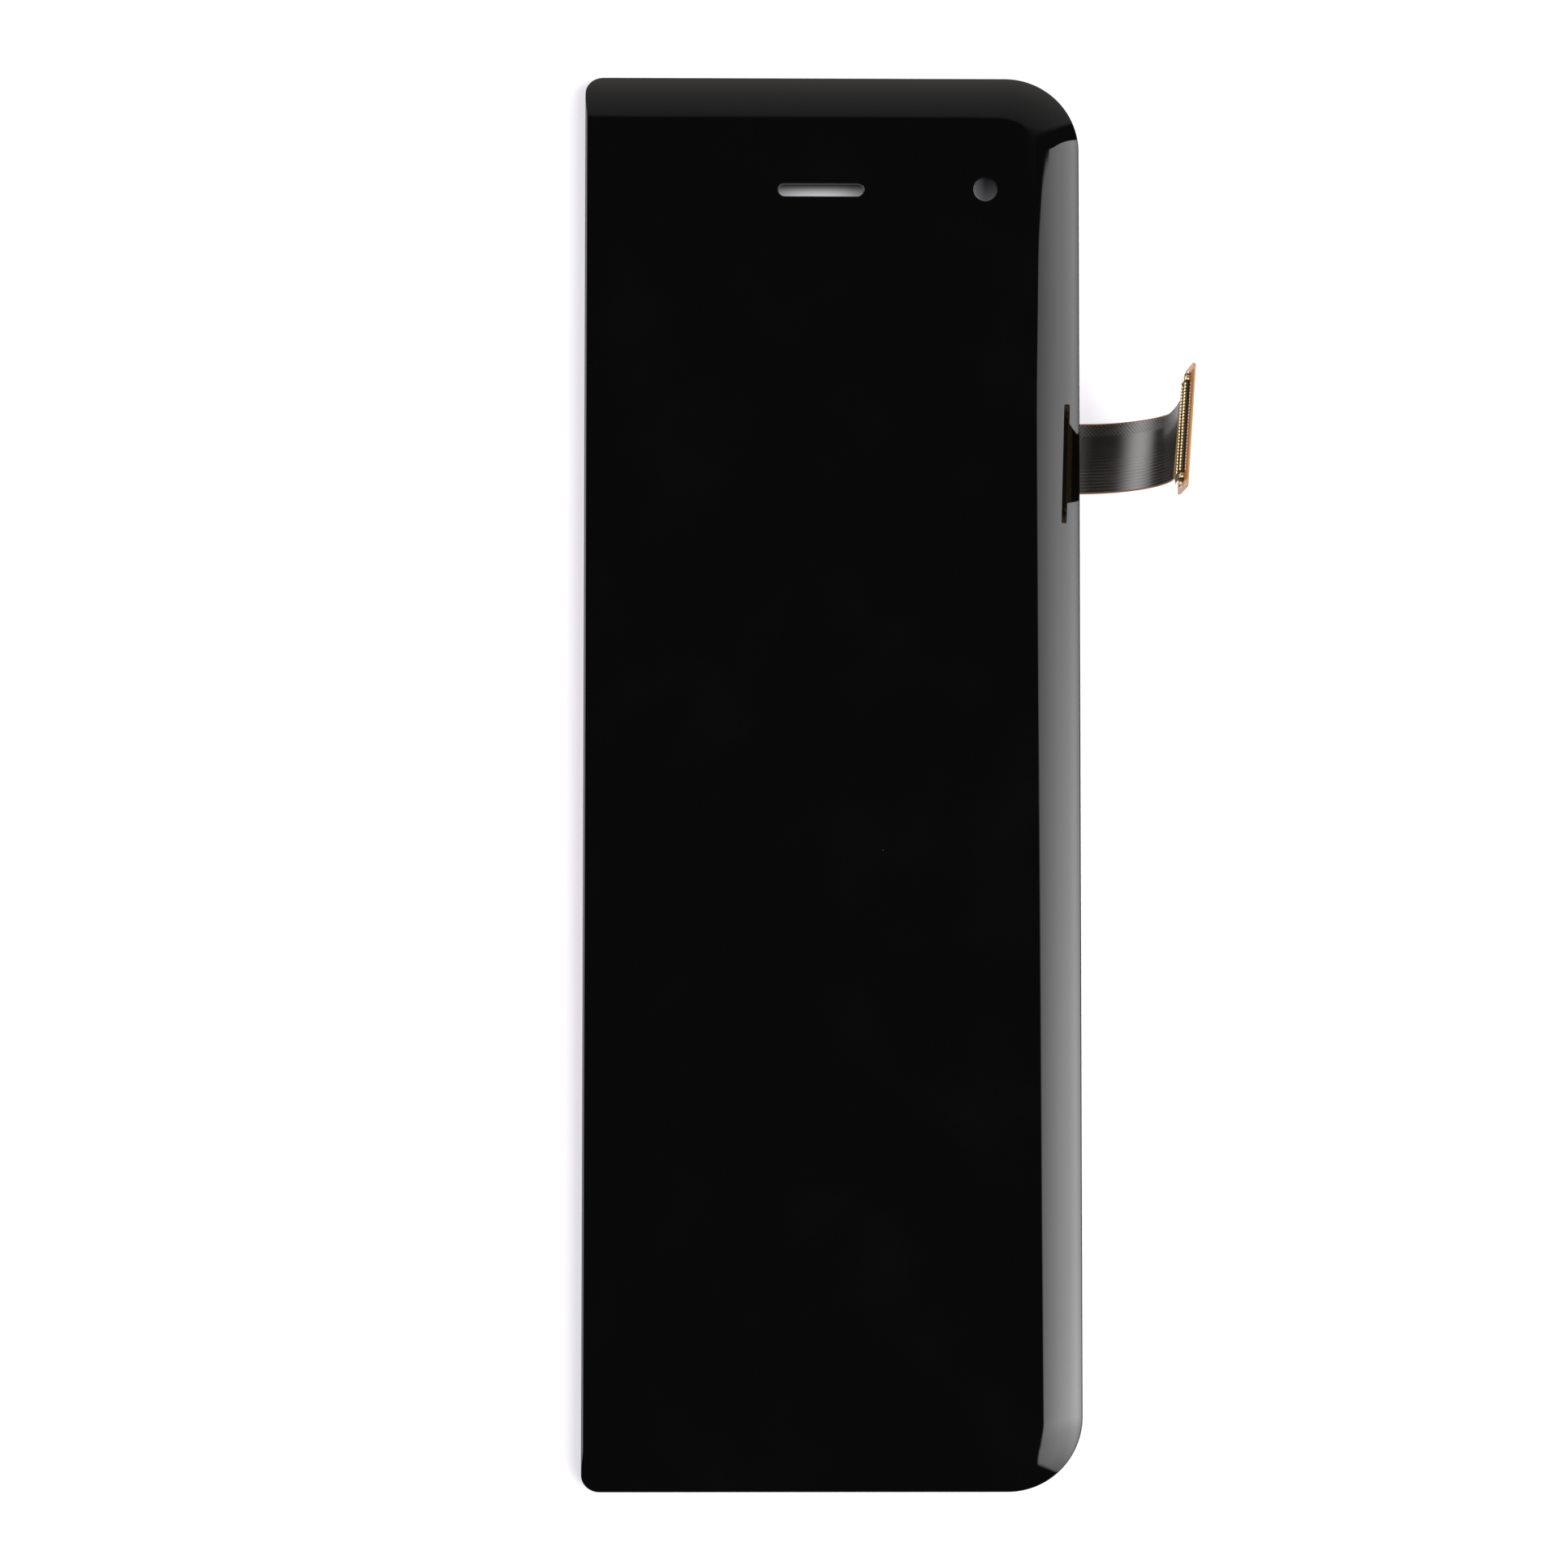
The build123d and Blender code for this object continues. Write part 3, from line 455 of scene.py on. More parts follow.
def make_glass():
    """Smooth copy of the bent cover glass, with ground edges and the bevelled earpiece slot."""
    arris = 0.09 * mm
    # Distances in from the edge, in millimetres, of the rings on the front and on the back
    insets = [0.0, 0.006, 0.02, 0.045, 0.09, 0.14, 0.2, 0.27, 0.34, 0.4, 0.5]
    insets += [0.8 + 0.3 * step for step in range(14)] + [4.9, 5.0, 5.1, 5.6]
    points, faces = [], []
    for inset in insets:
        for x, y in glass_loop(inset * mm):
            bent = bent_height(x, y, 0) - rounding(inset * mm, arris)
            flat = glass_front - rounding(inset * mm, glass_bevel)
            points.append((x, y, min(bent, flat)))
    rear_insets = [0.0, 0.1] + [0.4 + 0.4 * step for step in range(12)] + [5.0, 5.1, 5.6]
    count = len(glass_loop(0))
    front_rings = len(insets)
    all_rings = front_rings + len(rear_insets)
    for inset in rear_insets:
        points += [(x, y, bent_height(x, y, glass_thickness)) for x, y in glass_loop(inset * mm)]
    for ring in range(front_rings - 1):
        faces += strip_between(ring * count, (ring + 1) * count, count)
    faces += strip_between(front_rings * count, 0, count)
    for ring in range(front_rings, all_rings - 1):
        faces += strip_between((ring + 1) * count, ring * count, count)

    glass_rear = glass_front - glass_thickness
    loops = [
        slot_loop(slot_bevel + 0.08 * mm, glass_front),
        slot_loop(slot_bevel, glass_front),
        slot_loop(0, glass_front - slot_bevel),
        slot_loop(0, glass_rear),
        slot_loop(0.1 * mm, glass_rear),
    ]
    slot_start = len(points)
    slot_count = len(loops[0])
    for number, loop in enumerate(loops):
        points += loop
        if number > 0:
            start = slot_start + number * slot_count
            faces += strip_between(start - slot_count, start, slot_count)
    # Flat front and back between the innermost ring and the slot
    for ring_start, hole_start, faces_down in (
        ((front_rings - 1) * count, slot_start, False),
        ((all_rings - 1) * count, slot_start + (len(loops) - 1) * slot_count, True),
    ):
        outer = [Vector(point) for point in points[ring_start:ring_start + count]]
        hole = [Vector(point) for point in points[hole_start:hole_start + slot_count]]
        for triangle in tessellate_polygon([outer, hole]):
            places = [ring_start + at if at < count else hole_start + at - count for at in triangle]
            faces.append(tuple(reversed(places) if faces_down else places))
    piece = new_piece("glass_sheet", points, faces)
    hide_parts("cover_glass")
    return piece


def add_mound(points, faces, middle, length_way, width_way, height_way):
    """Adds a drop of solder: a low pillow over a rectangle, given by its half sizes as vectors."""
    steps = 7
    last = steps - 1
    corner_cut = 0.14
    start = len(points)
    for row in range(steps):
        for column in range(steps):
            u = 2 * row / last - 1
            v = 2 * column / last - 1
            swell = sqrt((1 - u**4) * (1 - v**4))
            round_in = 1 - corner_cut * u * u * v * v
            points.append(middle + (length_way * u + width_way * v) * round_in + height_way * swell)
    for row in range(last):
        for column in range(last):
            corner = start + row * steps + column
            faces.append((corner, corner + steps, corner + steps + 1, corner + 1))
    rim = [row * steps for row in range(steps)] + [last * steps + column for column in range(1, steps)]
    rim += [row * steps + last for row in range(last - 1, -1, -1)] + list(range(last - 1, 0, -1))
    faces.append(tuple(start + place for place in reversed(rim)))


def make_connector_solder():
    """Solder at the feet of the contacts and of the two clips."""
    points, faces = [], []
    foot_reach = 1.41 * mm
    clip_reach = 6.19 * mm
    # Half sizes of a drop along and across the board, and its height
    foot_ways = (board_along * (0.145 * mm), board_down * (0.14 * mm), board_normal * (0.045 * mm))
    clip_ways = (board_along * (0.27 * mm), board_down * (0.78 * mm), board_normal * (0.085 * mm))
    face = connector_middle + board_normal * board_face
    for number in range(contact_count):
        along = board_along * ((number - (contact_count - 1) / 2) * contact_pitch)
        for side in (-1, 1):
            add_mound(points, faces, face + along + board_down * (side * foot_reach), *foot_ways)
    for side in (-1, 1):
        add_mound(points, faces, face + board_along * (side * clip_reach), *clip_ways)
    return new_piece("contact_solder", points, faces)


def make_end_caps():
    """Formed metal caps that hold down the two moulded ends of the connector."""
    points, faces = [], []
    skin = 0.05 * mm
    fold = 0.09 * mm
    lip = 0.55 * mm
    lip_slope = 0.07 * mm
    foot = board_face + 0.02 * mm
    top = board_face + housing_height
    wall = end_block_half + skin
    # Outline of a cap across the connector, outer side first: distance from its middle, and height
    outline = [(wall, foot), (wall, top + skin - fold)]
    for step in range(1, 7):
        turn = step * pi / 12
        outline.append((wall - fold * (1 - cos(turn)), top + skin - fold * (1 - sin(turn))))
    outline += [(lip + lip_slope, top + skin), (lip, top + 0.6 * skin)]
    outer_count = len(outline)
    outline += [(lip, top), (end_block_half, top), (end_block_half, foot)]
    count = len(outline)
    # Distance along the connector, and how much the cap is eased there
    stations = ((5.15 * mm, 0.4 * skin), (5.2 * mm, 0.0), (5.62 * mm, 0.0), (5.67 * mm, 0.4 * skin))
    for end in (-1, 1):
        for side in (-1, 1):
            start = len(points)
            for reach, ease in stations:
                for number, (out, height) in enumerate(outline):
                    drop = ease if 0 < number < outer_count else 0.0
                    points.append(
                        connector_middle + board_along * (end * reach)
                        + board_down * (side * (out - drop)) + board_normal * (height - drop)
                    )
            last = len(points) - count
            cap = [tuple(reversed(range(start, start + count))), tuple(range(last, last + count))]
            for ring in range(start, last, count):
                cap += strip_between(ring, ring + count, count)
            faces += cap if end * side > 0 else [tuple(reversed(face)) for face in cap]
    return new_piece("end_caps", points, faces)


def make_body_solder():
    """Solder at the two ends of each small part on the flex body."""
    points, faces = [], []
    # Capacitors, resistors and inductors, in millimetres: X of the first part, pitch, count,
    # Y of the row, half length and half width of a part, and height of its solder
    rows = (
        (4.6, 1.4, 10, 47.6, 0.5, 0.25, 0.11),
        (-8.0, 1.0, 7, 52.6, 0.3, 0.15, 0.08),
        (2.0, 2.6, 3, 51.4, 1.0, 0.8, 0.13),
    )
    for first_x, pitch, count, row_y, half_length, half_width, height in rows:
        ways = (Vector(((half_width + 0.06) * mm, 0, 0)), Vector((0, -0.2 * mm, 0)), upward * (-height * mm))
        for number in range(count):
            for side in (-1, 1):
                place = Vector((first_x + number * pitch, row_y + side * (half_length + 0.05), 0)) * mm
                add_mound(points, faces, place + upward * flex_rear, *ways)
    return new_piece("body_solder", points, faces)


def make_test_pads():
    """Round gold pads near the lower edge of the flex body."""
    points, faces = [], []
    radius = 0.36 * mm
    thickness = 0.018 * mm
    # Rings of a pad, as shares of its radius and thickness
    levels = ((1.0, 0.0), (0.97, 0.6), (0.85, 1.0), (0.4, 1.06))
    sides = 28
    for number in range(8):
        middle = Vector(((-19.5 + 1.5 * number) * mm, 46.3 * mm, flex_rear))
        start = len(points)
        for share, rise in levels:
            for step in range(sides):
                angle = -2 * pi * step / sides
                spot = Vector((cos(angle), sin(angle), 0)) * (radius * share)
                points.append(middle + spot - upward * (thickness * rise))
        for ring in range(len(levels) - 1):
            faces += strip_between(start + ring * sides, start + (ring + 1) * sides, sides)
        last = len(points) - sides
        faces.append(tuple(range(last, last + sides)))
        faces.append(tuple(reversed(range(start, start + sides))))
    return new_piece("test_pads", points, faces)


def make_underfill():
    """Bead of underfill round the foot of each chip on the flex body."""
    points, faces = [], []
    # Touch controller, power chip and memory chip, in millimetres: middle and half sizes
    chips = ((-14.5, 50.2, 2.3, 2.3), (12.6, 51.4, 1.5, 1.5), (-5.0, 49.0, 1.5, 1.0))
    # Each ring of a bead, in millimetres: distance out from the chip's wall, and height off the
    # film; the last one closes the bead from below
    rings = (
        (0.34, -0.01), (0.3, 0.02), (0.2, 0.05), (0.1, 0.11), (0.03, 0.19), (0.004, 0.24), (0.004, -0.01),
    )
    steps = 12
    count = 4 * steps * 2
    for middle_x, middle_y, half_x, half_y in chips:
        start = len(points)
        for out, height in rings:
            arcs = []
            for corner, (side_x, side_y) in enumerate(((1, 1), (-1, 1), (-1, -1), (1, -1))):
                turns = [(corner + step / (steps - 1)) * pi / 2 for step in range(steps)]
                arcs.append([
                    Vector((side_x * half_x + out * cos(turn), side_y * half_y + out * sin(turn)))
                    for turn in turns
                ])
            loop = []
            for arc, next_arc in zip(arcs, arcs[1:] + arcs[:1]):
                loop += arc
                loop += [arc[-1].lerp(next_arc[0], (step + 1) / (steps + 1)) for step in range(steps)]
            for number, (x, y) in enumerate(loop):
                sway = 1 + 0.16 * sin(number * 0.71) + 0.1 * sin(number * 1.9 + middle_x)
                place = Vector((middle_x + x, middle_y + y, -height * sway)) * mm
                points.append(place + upward * flex_rear)
        for ring in range(len(rings)):
            following = (ring + 1) % len(rings)
            faces += strip_between(start + following * count, start + ring * count, count)
    return new_piece("underfill", points, faces)


def tail_places(finish):
    """Distances from the tail's middle line and along it, from where the curl begins."""
    offset = finish.vector("SUBTRACT", finish.place, tail_start).outputs["Vector"]
    across = finish.dot(offset, edge_normal)
    forward = finish.dot(offset, curl_way)
    rise = finish.math("SUBTRACT", curl_radius, finish.dot(offset, upward))
    turned = finish.math("ARCTAN2", forward, rise)
    curled = finish.math("MULTIPLY", turned, curl_radius)
    past = finish.math("GREATER_THAN", forward, 0.0)
    along = finish.math("ADD", finish.product(curled, past), finish.math("MINIMUM", forward, 0.0))
    return across, along


def board_places(finish):
    """Distances from the middle of the connector board along and across it, without their signs."""
    offset = finish.vector("SUBTRACT", finish.place, board_middle).outputs["Vector"]
    return [finish.math("ABSOLUTE", finish.dot(offset, way)) for way in (board_along, board_down)]


def paint_glass(sheet):
    """Black cover glass: a clear camera window with painted shade, faint smears, dust and very slight
    waviness.
    """
    glass = Finish("cover_glass", (0.0016, 0.0016, 0.0018), 0.025, ior=1.5)
    flat_place = glass.vector("MULTIPLY", glass.place, (1, 1, 0)).outputs["Vector"]
    off_window = glass.vector("DISTANCE", flat_place, camera_window).outputs["Value"]
    window = glass.step(off_window, window_radius + 0.03 * mm, window_radius - 0.03 * mm)
    specks = glass.cells(glass.place, 3.4 * mm)
    speck_size = glass.math("MULTIPLY", glass.noise(glass.place, 5.0 * mm), 0.03)
    dust = glass.math("LESS_THAN", specks.outputs["Distance"], speck_size)
    rare = glass.math("GREATER_THAN", glass.noise(glass.place, 11.0 * mm), 0.6)
    dust = glass.product(dust, rare)
    smears = glass.step(glass.noise(glass.place, 14.0 * mm, 5.0), 0.5, 0.8)
    black = glass.tint(smears, (0.0014, 0.0014, 0.0015), (0.0022, 0.0021, 0.0021))
    dusty = glass.mix(dust, black, (0.05, 0.052, 0.05, 1))
    # Painted shade in the camera window: darker towards its upper right, lighter towards its rim and its
    # lower left
    out = glass.math("DIVIDE", off_window, window_radius)
    lower = glass.math("DIVIDE", glass.math("SUBTRACT", camera_window.y, glass.y), window_radius)
    left = glass.math("DIVIDE", glass.math("SUBTRACT", camera_window.x, glass.x), window_radius)
    painted_light_left = glass.math("MULTIPLY", glass.math("MAXIMUM", left, 0.0), 0.4)
    painted_shade_slope = glass.math("ADD", glass.math("MULTIPLY", lower, 0.18), painted_light_left)
    painted_shade_rim = glass.math("ADD", glass.product(out, out, 0.03), 0.19)
    clear = glass.math("MAXIMUM", glass.math("ADD", painted_shade_slope, painted_shade_rim), 0.02)
    # The window's colour, which carries the painted shade
    lens = glass.tint(clear, (0.0, 0.0, 0.0), (1.0, 1.0, 1.03))
    glass.color(glass.mix(window, dusty, lens))
    glass.feed(glass.shader.inputs["Transmission Weight"], window)
    # The slot's wall is ground, not polished
    wall = glass.product(
        glass.between(glass.x, display_middle - 5.0 * mm, display_middle + 5.0 * mm, 0.1 * mm),
        glass.between(glass.y, slot_height - 1.1 * mm, slot_height + 0.9 * mm, 0.1 * mm),
        glass.step(glass.z, glass_front - 0.1 * slot_bevel, glass_front - 0.5 * slot_bevel),
    )
    worn = glass.math("MAXIMUM", dust, glass.math("MULTIPLY", smears, 0.06))
    glass.roughness(glass.scaled(glass.math("MAXIMUM", worn, wall), 0.02, 0.6))
    glass.bump(glass.noise(glass.place, 30.0 * mm, 1.0), 0.012 * mm)
    glass.paint("cover_glass", sheet)


def paint_ink():
    """Printed mask on the back of the glass, satin from behind."""
    ink = Finish("black_ink", (0.009, 0.009, 0.01), 0.3)
    mesh_marks = ink.grid(ink.x, ink.y, 0.12 * mm, 0.5, 0.5)
    cloud = ink.noise(ink.place, 9.0 * mm, 4.0)
    ink.color(ink.tint(cloud, (0.006, 0.006, 0.007), (0.014, 0.014, 0.015)))
    ink.roughness(ink.scaled(cloud, 0.24, 0.4))
    ink.bump(mesh_marks, 0.001 * mm, 0.4)
    ink.bump(ink.noise(ink.place, 0.6 * mm), 0.002 * mm, 0.5)
    ink.paint("black_mask")


def paint_panel():
    """Sandwich of the display panel, most of it out of sight."""
    adhesive = Finish("clear_adhesive", (0.8, 0.82, 0.8), 0.12, transmission_weight=0.9)
    cloud = adhesive.noise(adhesive.place, 4.0 * mm)
    adhesive.color(adhesive.tint(cloud, (0.78, 0.8, 0.78), (0.86, 0.87, 0.84)))
    adhesive.paint("optical_adhesive")

    polarizer = Finish("polarizer_film", (0.02, 0.02, 0.022), 0.15)
    film = polarizer.noise(polarizer.place, 6.0 * mm, 3.0)
    polarizer.color(polarizer.tint(film, (0.016, 0.016, 0.019), (0.028, 0.027, 0.028)))
    polarizer.roughness(polarizer.scaled(film, 0.1, 0.2))
    polarizer.paint("polarizer")

    panel = Finish("panel_glass", (0.05, 0.06, 0.06), 0.05)
    electrodes = panel.grid(panel.x, panel.y, 0.24 * mm, 0.6)
    panel.color(panel.tint(electrodes, (0.05, 0.06, 0.06), (0.075, 0.08, 0.085)))
    panel.paint("encapsulation_glass")

    backplane = Finish("backplane_glass", (0.06, 0.065, 0.075), 0.08)
    cells = backplane.grid(backplane.x, backplane.y, 0.3 * mm, 0.55)
    drift = backplane.noise(backplane.place, 18.0 * mm, 2.0)
    sheen = backplane.mix(drift, (0.035, 0.042, 0.06, 1), (0.06, 0.052, 0.05, 1))
    backplane.color(backplane.mix(backplane.math("MULTIPLY", cells, 0.35), sheen, (0.11, 0.115, 0.12, 1)))
    backplane.roughness(backplane.scaled(backplane.noise(backplane.place, 3.0 * mm), 0.05, 0.12))
    backplane.paint("backplane_glass")

    frit = Finish("glass_frit", (0.16, 0.13, 0.1), 0.6)
    grain = frit.noise(frit.place, 0.15 * mm, 3.0)
    frit.color(frit.tint(grain, (0.11, 0.09, 0.07), (0.22, 0.18, 0.14)))
    frit.bump(grain, 0.004 * mm)
    frit.paint("cell_seal")

    emitter = Finish("emitter_stack", (0.03, 0.03, 0.04), 0.2)
    dots = emitter.cells(emitter.place, 0.08 * mm).outputs["Distance"]
    emitter.color(emitter.tint(dots, (0.02, 0.02, 0.03), (0.06, 0.05, 0.07)))
    emitter.paint("emitter_layer")

    silicon = Finish("bare_silicon", (0.11, 0.11, 0.13), 0.12, metallic=0.6)
    cut = silicon.drawn_noise((1, 12, 12), 2.0 * mm)
    silicon.color(silicon.tint(cut, (0.09, 0.09, 0.11), (0.14, 0.14, 0.15)))
    silicon.roughness(silicon.scaled(cut, 0.08, 0.2))
    silicon.paint("driver_chip")


def paint_flex():
    """Amber film over copper tracks and hatched ground, with other faces on the bare end and board."""
    flex = Finish("flex_circuit", (0.16, 0.075, 0.022), 0.34, specular_ior_level=0.2)
    across, along = tail_places(flex)
    lane = flex.math("GREATER_THAN", flex.noise(flex.place, 9.0 * mm, 0.0), 0.52)
    tracks = flex.mix(lane, *[flex.stripes(way, 0.32 * mm, 0.5) for way in (flex.y, flex.x)])
    ground = flex.step(flex.noise(flex.place, 6.0 * mm, 1.0), 0.5, 0.53)
    copper = flex.mix(ground, tracks, flex.hatch(flex.x, flex.y, 0.55 * mm, 0.4))
    tail_tracks = flex.stripes(across, 0.3 * mm, 0.5)
    on_tail = flex.math("GREATER_THAN", flex.x, 20.0 * mm)
    copper = flex.mix(on_tail, copper, tail_tracks)
    film = flex.noise(flex.place, 2.5 * mm, 3.0)
    bare = flex.tint(film, (0.16, 0.062, 0.014), (0.24, 0.1, 0.026))
    covered = flex.tint(film, (0.3, 0.13, 0.035), (0.4, 0.19, 0.055))
    amber = flex.mix(copper, bare, covered)
    # Past the shield film the tail is bare polyimide, and the board has an orange-brown face
    board_x, board_y = board_places(flex)
    past_shield = flex.step(along, shield_end, shield_end + 0.1 * mm)
    bare_end = flex.mix(past_shield, amber, flex.tint(film, (0.2, 0.12, 0.045), (0.3, 0.19, 0.075)))
    on_board = flex.product(
        flex.step(board_y, board_width / 2 + 0.02 * mm, board_width / 2 - 0.02 * mm),
        past_shield,
    )
    tip = flex.step(board_x, 5.9 * mm, 6.3 * mm)
    face = flex.tint(film, (0.27, 0.09, 0.022), (0.42, 0.17, 0.05))
    mask = flex.mix(tip, face, flex.tint(film, (0.5, 0.33, 0.22), (0.62, 0.43, 0.31)))
    flex.color(flex.mix(on_board, bare_end, mask))
    flex.roughness(flex.math("ADD", flex.scaled(film, 0.28, 0.42), flex.math("MULTIPLY", on_board, 0.25)))
    flex.bump(copper, 0.012 * mm)
    flex.paint("flex_circuit")

    touch = Finish("touch_flex", (0.4, 0.18, 0.05), 0.3)
    wires = touch.stripes(touch.x, 0.22 * mm, 0.5)
    touch.color(touch.tint(wires, (0.26, 0.11, 0.026), (0.46, 0.22, 0.07)))
    touch.bump(wires, 0.008 * mm)
    touch.roughness(touch.scaled(touch.noise(touch.place, 1.0 * mm), 0.26, 0.36))
    touch.paint("touch_flex")

    bond = Finish("bonding_film", (0.42, 0.38, 0.3), 0.4)
    bond.color(bond.tint(bond.noise(bond.place, 0.08 * mm), (0.32, 0.29, 0.22), (0.52, 0.48, 0.38)))
    bond.paint("bonding_film", "touch_bonds")

    tape = Finish("mounting_tape", (0.02, 0.02, 0.02), 0.7)
    weave = tape.noise(tape.place, 0.2 * mm, 3.0)
    tape.color(tape.tint(weave, (0.014, 0.014, 0.014), (0.032, 0.031, 0.03)))
    tape.bump(weave, 0.006 * mm)
    tape.paint("flex_tape")


def paint_shield():
    """Near-black shield film; the tracks and the hatched ground show through as relief."""
    shield = Finish("shield_film", (0.02, 0.019, 0.018), 0.22, ior=1.62)
    across, along = tail_places(shield)
    ridges = shield.stripes(across, 0.36 * mm, 0.45, 0.5)
    lower = shield.step(across, 1.5 * mm, -2.4 * mm)
    strip = shield.step(across, 2.2 * mm, 2.6 * mm)
    hatch = shield.product(shield.hatch(across, along, 0.46 * mm, 0.3, 0.3), strip)
    relief = shield.mix(strip, shield.product(ridges, shield.scaled(lower, 0.25, 1.0)), hatch)
    grain = shield.noise(shield.place, 0.12 * mm, 2.0)
    rub = shield.drawn_noise((1, 3, 1), 3.0 * mm, 4.0)
    near_glass = shield.step(along, 1.6 * mm, 0.2 * mm)
    film = shield.tint(rub, (0.0105, 0.0095, 0.0085), (0.019, 0.0172, 0.0155))
    hazed = shield.mix(shield.math("MULTIPLY", near_glass, 0.7), film, (0.06, 0.059, 0.056, 1))
    shield.color(shield.mix(shield.math("MULTIPLY", relief, 0.4), hazed, (0.06, 0.052, 0.044, 1)))
    shield.roughness(shield.math("ADD", shield.scaled(rub, 0.16, 0.25), shield.math("MULTIPLY", relief, 0.1)))
    shield.bump(relief, 0.01 * mm, 0.8)
    shield.bump(grain, 0.0015 * mm, 0.5)
    shield.paint("tail_shield_front", "tail_shield_rear")


def paint_rear():
    """Foam cushion and the copper sheet over it."""
    foam = Finish("foam", (0.02, 0.02, 0.021), 0.9)
    pores = foam.cells(foam.place, 0.09 * mm).outputs["Distance"]
    foam.color(foam.tint(pores, (0.012, 0.012, 0.013), (0.035, 0.035, 0.036)))
    foam.bump(pores, 0.02 * mm)
    foam.paint("foam_cushion")

    copper = Finish("copper_foil", (0.72, 0.4, 0.25), 0.38, metallic=1.0)
    rolled = copper.drawn_noise((1, 0.03, 1), 0.25 * mm, 4.0)
    cloud = copper.noise(copper.place, 16.0 * mm, 5.0)
    spots = copper.step(copper.noise(copper.place, 5.0 * mm, 6.0), 0.62, 0.72)
    clean = copper.tint(cloud, (0.74, 0.42, 0.27), (0.62, 0.33, 0.2))
    streaked = copper.mix(copper.math("MULTIPLY", rolled, 0.35), clean, (0.85, 0.56, 0.4, 1))
    copper.color(copper.mix(copper.math("MULTIPLY", spots, 0.4), streaked, (0.42, 0.2, 0.12, 1)))
    dullness = copper.math("MULTIPLY", copper.math("ADD", rolled, cloud), 0.5)
    copper.roughness(copper.scaled(dullness, 0.26, 0.52))
    copper.bump(rolled, 0.003 * mm)
    copper.bump(cloud, 0.05 * mm, 0.5)
    copper.paint("copper_sheet")


def tinned_part(name, node, body_low, body_high, half_body):
    """Small part whose two ends, up and down the module, are tinned."""
    low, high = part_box(node)
    middle = (low.y + high.y) / 2
    part = Finish(name, body_low, 0.5)
    off_middle = part.math("ABSOLUTE", part.math("SUBTRACT", part.y, middle))
    end = part.step(off_middle, half_body - 0.01 * mm, half_body + 0.01 * mm)
    grain = part.noise(part.place, 0.06 * mm, 3.0)
    tin = part.tint(grain, (0.6, 0.6, 0.61), (0.78, 0.78, 0.78))
    part.color(part.mix(end, part.tint(grain, body_low, body_high), tin))
    part.feed(part.shader.inputs["Metallic"], end)
    part.roughness(part.mix(end, part.scaled(grain, 0.4, 0.6), part.scaled(grain, 0.25, 0.45)))
    part.bump(grain, 0.004 * mm)
    part.paint(node)


def paint_parts():
    """Chips and small parts on the flex circuit."""
    tinned_part("capacitor", "capacitors", (0.32, 0.2, 0.11), (0.45, 0.3, 0.18), 0.25 * mm)
    tinned_part("resistor", "resistors", (0.018, 0.018, 0.022), (0.05, 0.05, 0.055), 0.17 * mm)
    tinned_part("inductor", "inductors", (0.09, 0.09, 0.095), (0.17, 0.17, 0.175), 0.62 * mm)

    package = Finish("chip_package", (0.022, 0.022, 0.025), 0.42)
    grain = package.noise(package.place, 0.05 * mm, 3.0)
    wipe = package.drawn_noise((1, 8, 1), 1.2 * mm, 3.0)
    package.color(package.tint(wipe, (0.016, 0.016, 0.019), (0.036, 0.036, 0.04)))
    package.roughness(package.scaled(wipe, 0.3, 0.5))
    package.bump(grain, 0.003 * mm)
    package.paint("touch_controller", "power_chip", "memory_chip")


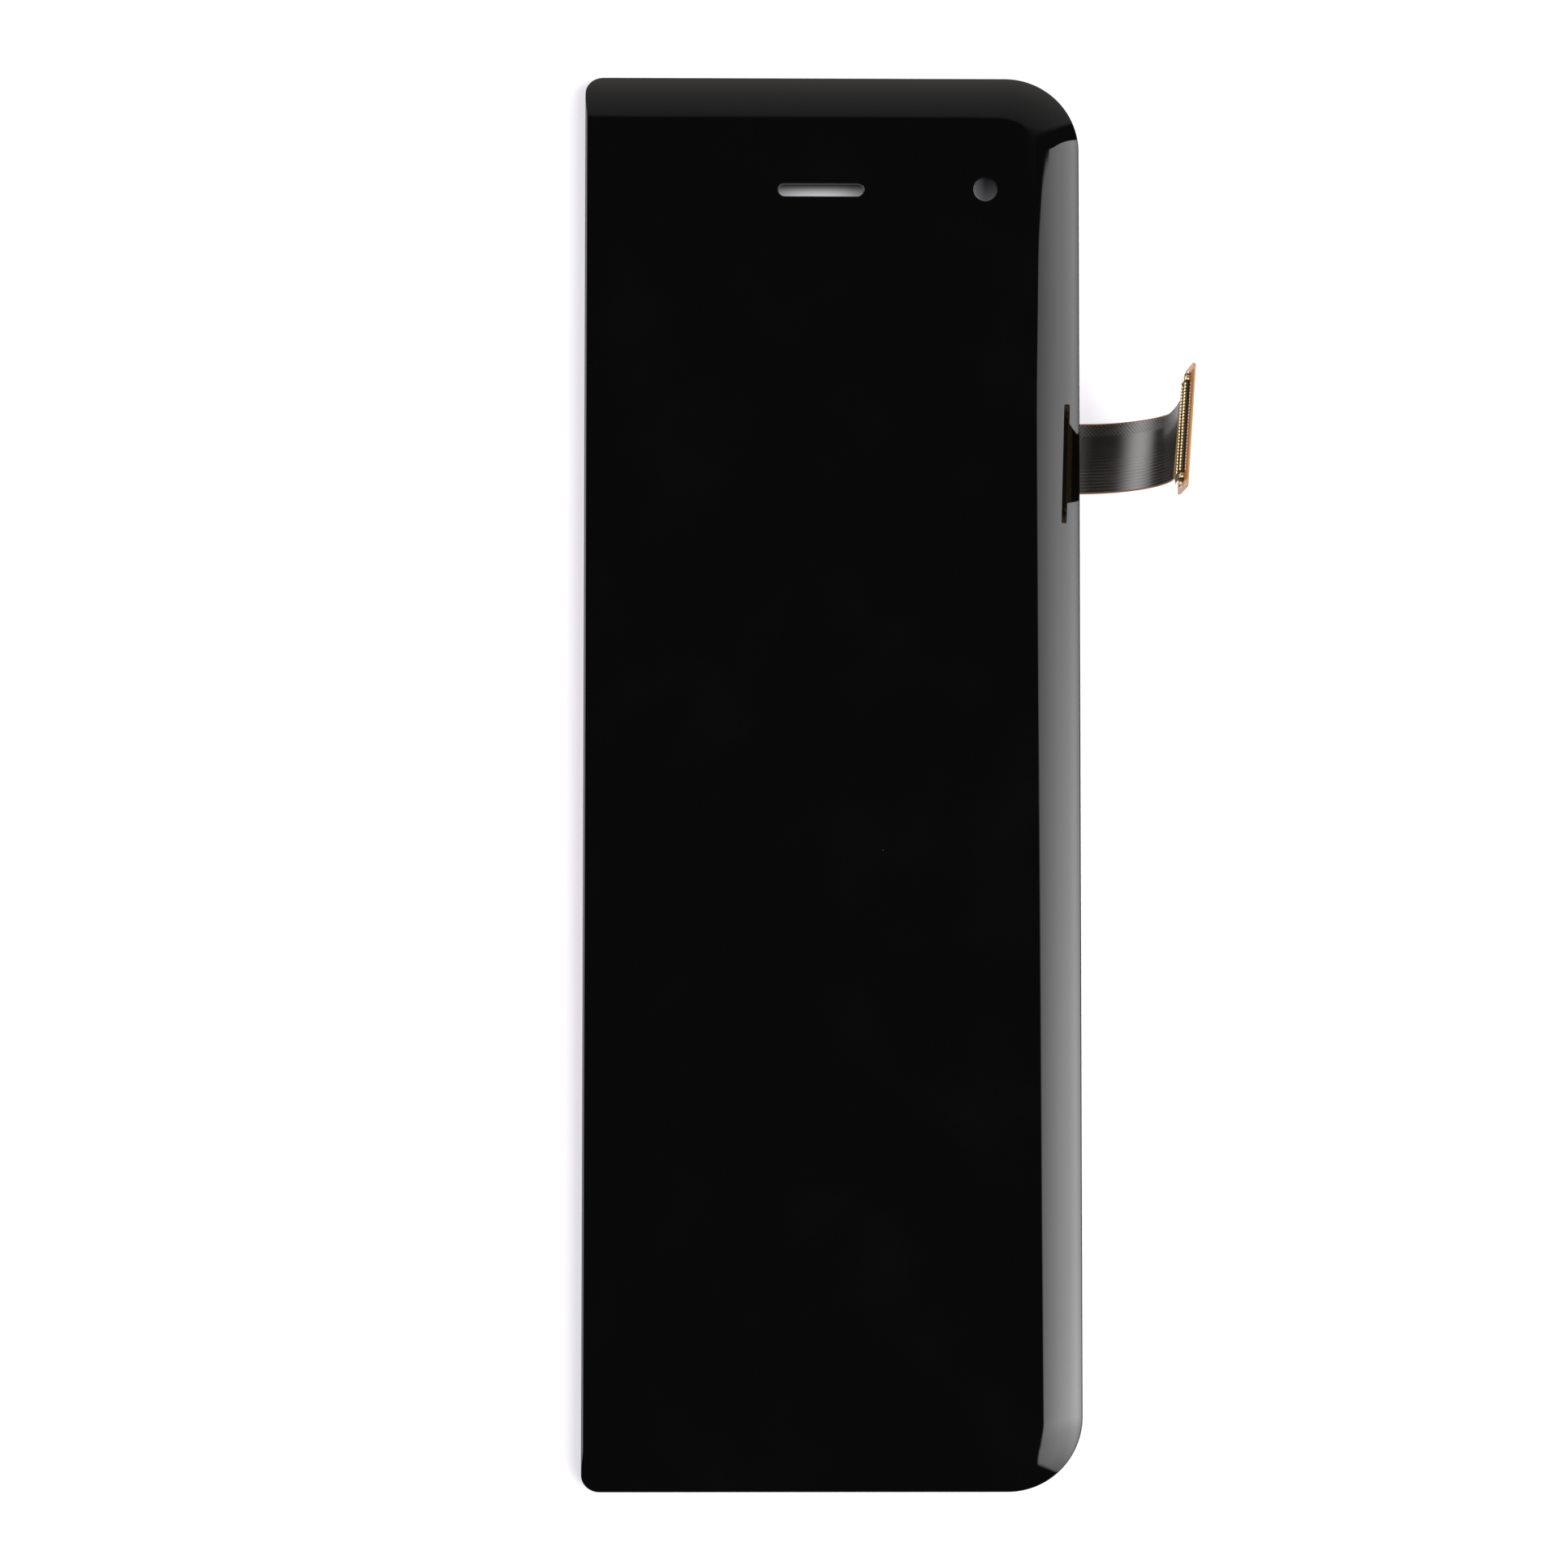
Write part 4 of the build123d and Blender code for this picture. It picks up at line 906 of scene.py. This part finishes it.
def paint_connector(end_caps):
    """Laminate stiffener, dark moulding, gold contacts and brighter gold clips."""
    laminate = Finish("stiffener", (0.5, 0.27, 0.1), 0.4)
    depth = laminate.dot(laminate.place, board_normal)
    plies = laminate.stripes(depth, 0.09 * mm, 0.5, 0.6)
    fibres = laminate.noise(laminate.place, 0.12 * mm, 3.0)
    glassy = laminate.tint(fibres, (0.42, 0.24, 0.09), (0.58, 0.36, 0.16))
    edge = laminate.mix(laminate.math("MULTIPLY", plies, 0.45), glassy, (0.68, 0.47, 0.24, 1))
    inside = laminate.product(*[
        laminate.step(out, size / 2 - 0.05 * mm, size / 2 - 0.3 * mm)
        for out, size in zip(board_places(laminate), (board_length, board_width))
    ])
    face = laminate.tint(fibres, (0.16, 0.08, 0.026), (0.26, 0.14, 0.052))
    laminate.color(laminate.mix(inside, edge, face))
    laminate.roughness(laminate.scaled(fibres, 0.34, 0.5))
    laminate.bump(fibres, 0.004 * mm)
    laminate.paint("board_stiffener")

    moulding = Finish("connector_plastic", (0.035, 0.025, 0.02), 0.42)
    grain = moulding.noise(moulding.place, 0.05 * mm, 3.0)
    flow = moulding.noise(moulding.place, 1.5 * mm, 3.0)
    moulding.color(moulding.tint(flow, (0.028, 0.02, 0.016), (0.055, 0.04, 0.032)))
    moulding.roughness(moulding.scaled(flow, 0.34, 0.52))
    moulding.bump(grain, 0.003 * mm)
    moulding.paint("connector_housing")

    gold = Finish("gold_plate", (0.83, 0.6, 0.28), 0.22, metallic=1.0)
    wear = gold.noise(gold.place, 0.2 * mm, 4.0)
    gold.color(gold.tint(wear, (0.38, 0.27, 0.125), (0.52, 0.4, 0.22)))
    gold.roughness(gold.scaled(wear, 0.2, 0.38))
    gold.bump(gold.noise(gold.place, 0.04 * mm), 0.0015 * mm)
    gold.paint("connector_contacts")

    bright = Finish("bright_gold", (0.95, 0.75, 0.42), 0.16, metallic=1.0)
    brushed = bright.drawn_noise((1, 6, 6), 0.3 * mm, 3.0)
    bright.color(bright.tint(brushed, (0.72, 0.54, 0.28), (0.86, 0.7, 0.42)))
    bright.roughness(bright.scaled(brushed, 0.1, 0.26))
    bright.paint("connector_clips", end_caps)


def paint_added(contact_solder, body_solder, test_pads, underfill):
    """Solder, gold pads and underfill."""
    solder = Finish("solder", (0.66, 0.64, 0.62), 0.3, metallic=1.0)
    grain = solder.noise(solder.place, 0.05 * mm, 3.0)
    flux = solder.noise(solder.place, 0.5 * mm, 3.0)
    metal = solder.tint(grain, (0.56, 0.53, 0.51), (0.76, 0.73, 0.7))
    solder.color(solder.mix(solder.step(flux, 0.55, 0.75), metal, (0.6, 0.42, 0.3, 1)))
    solder.roughness(solder.scaled(grain, 0.2, 0.45))
    solder.bump(grain, 0.003 * mm)
    solder.paint(contact_solder, body_solder)

    pad = Finish("pad_gold", (0.9, 0.68, 0.34), 0.3, metallic=1.0)
    scratch = pad.drawn_noise((1, 7, 1), 0.3 * mm, 4.0)
    pad.color(pad.tint(scratch, (0.8, 0.56, 0.26), (0.95, 0.76, 0.44)))
    pad.roughness(pad.scaled(scratch, 0.2, 0.42))
    pad.bump(pad.noise(pad.place, 0.05 * mm), 0.002 * mm)
    pad.paint(test_pads)

    resin = Finish("underfill", (0.03, 0.026, 0.022), 0.25)
    cloud = resin.noise(resin.place, 0.4 * mm, 3.0)
    resin.color(resin.tint(cloud, (0.02, 0.017, 0.014), (0.055, 0.046, 0.036)))
    resin.roughness(resin.scaled(cloud, 0.18, 0.4))
    resin.bump(cloud, 0.01 * mm)
    resin.paint(underfill)


photo_camera()
studio_light()
white_table()
paint_glass(make_glass())
paint_ink()
paint_panel()
paint_flex()
paint_shield()
paint_rear()
paint_parts()
paint_connector(make_end_caps())
paint_added(make_connector_solder(), make_body_solder(), make_test_pads(), make_underfill())
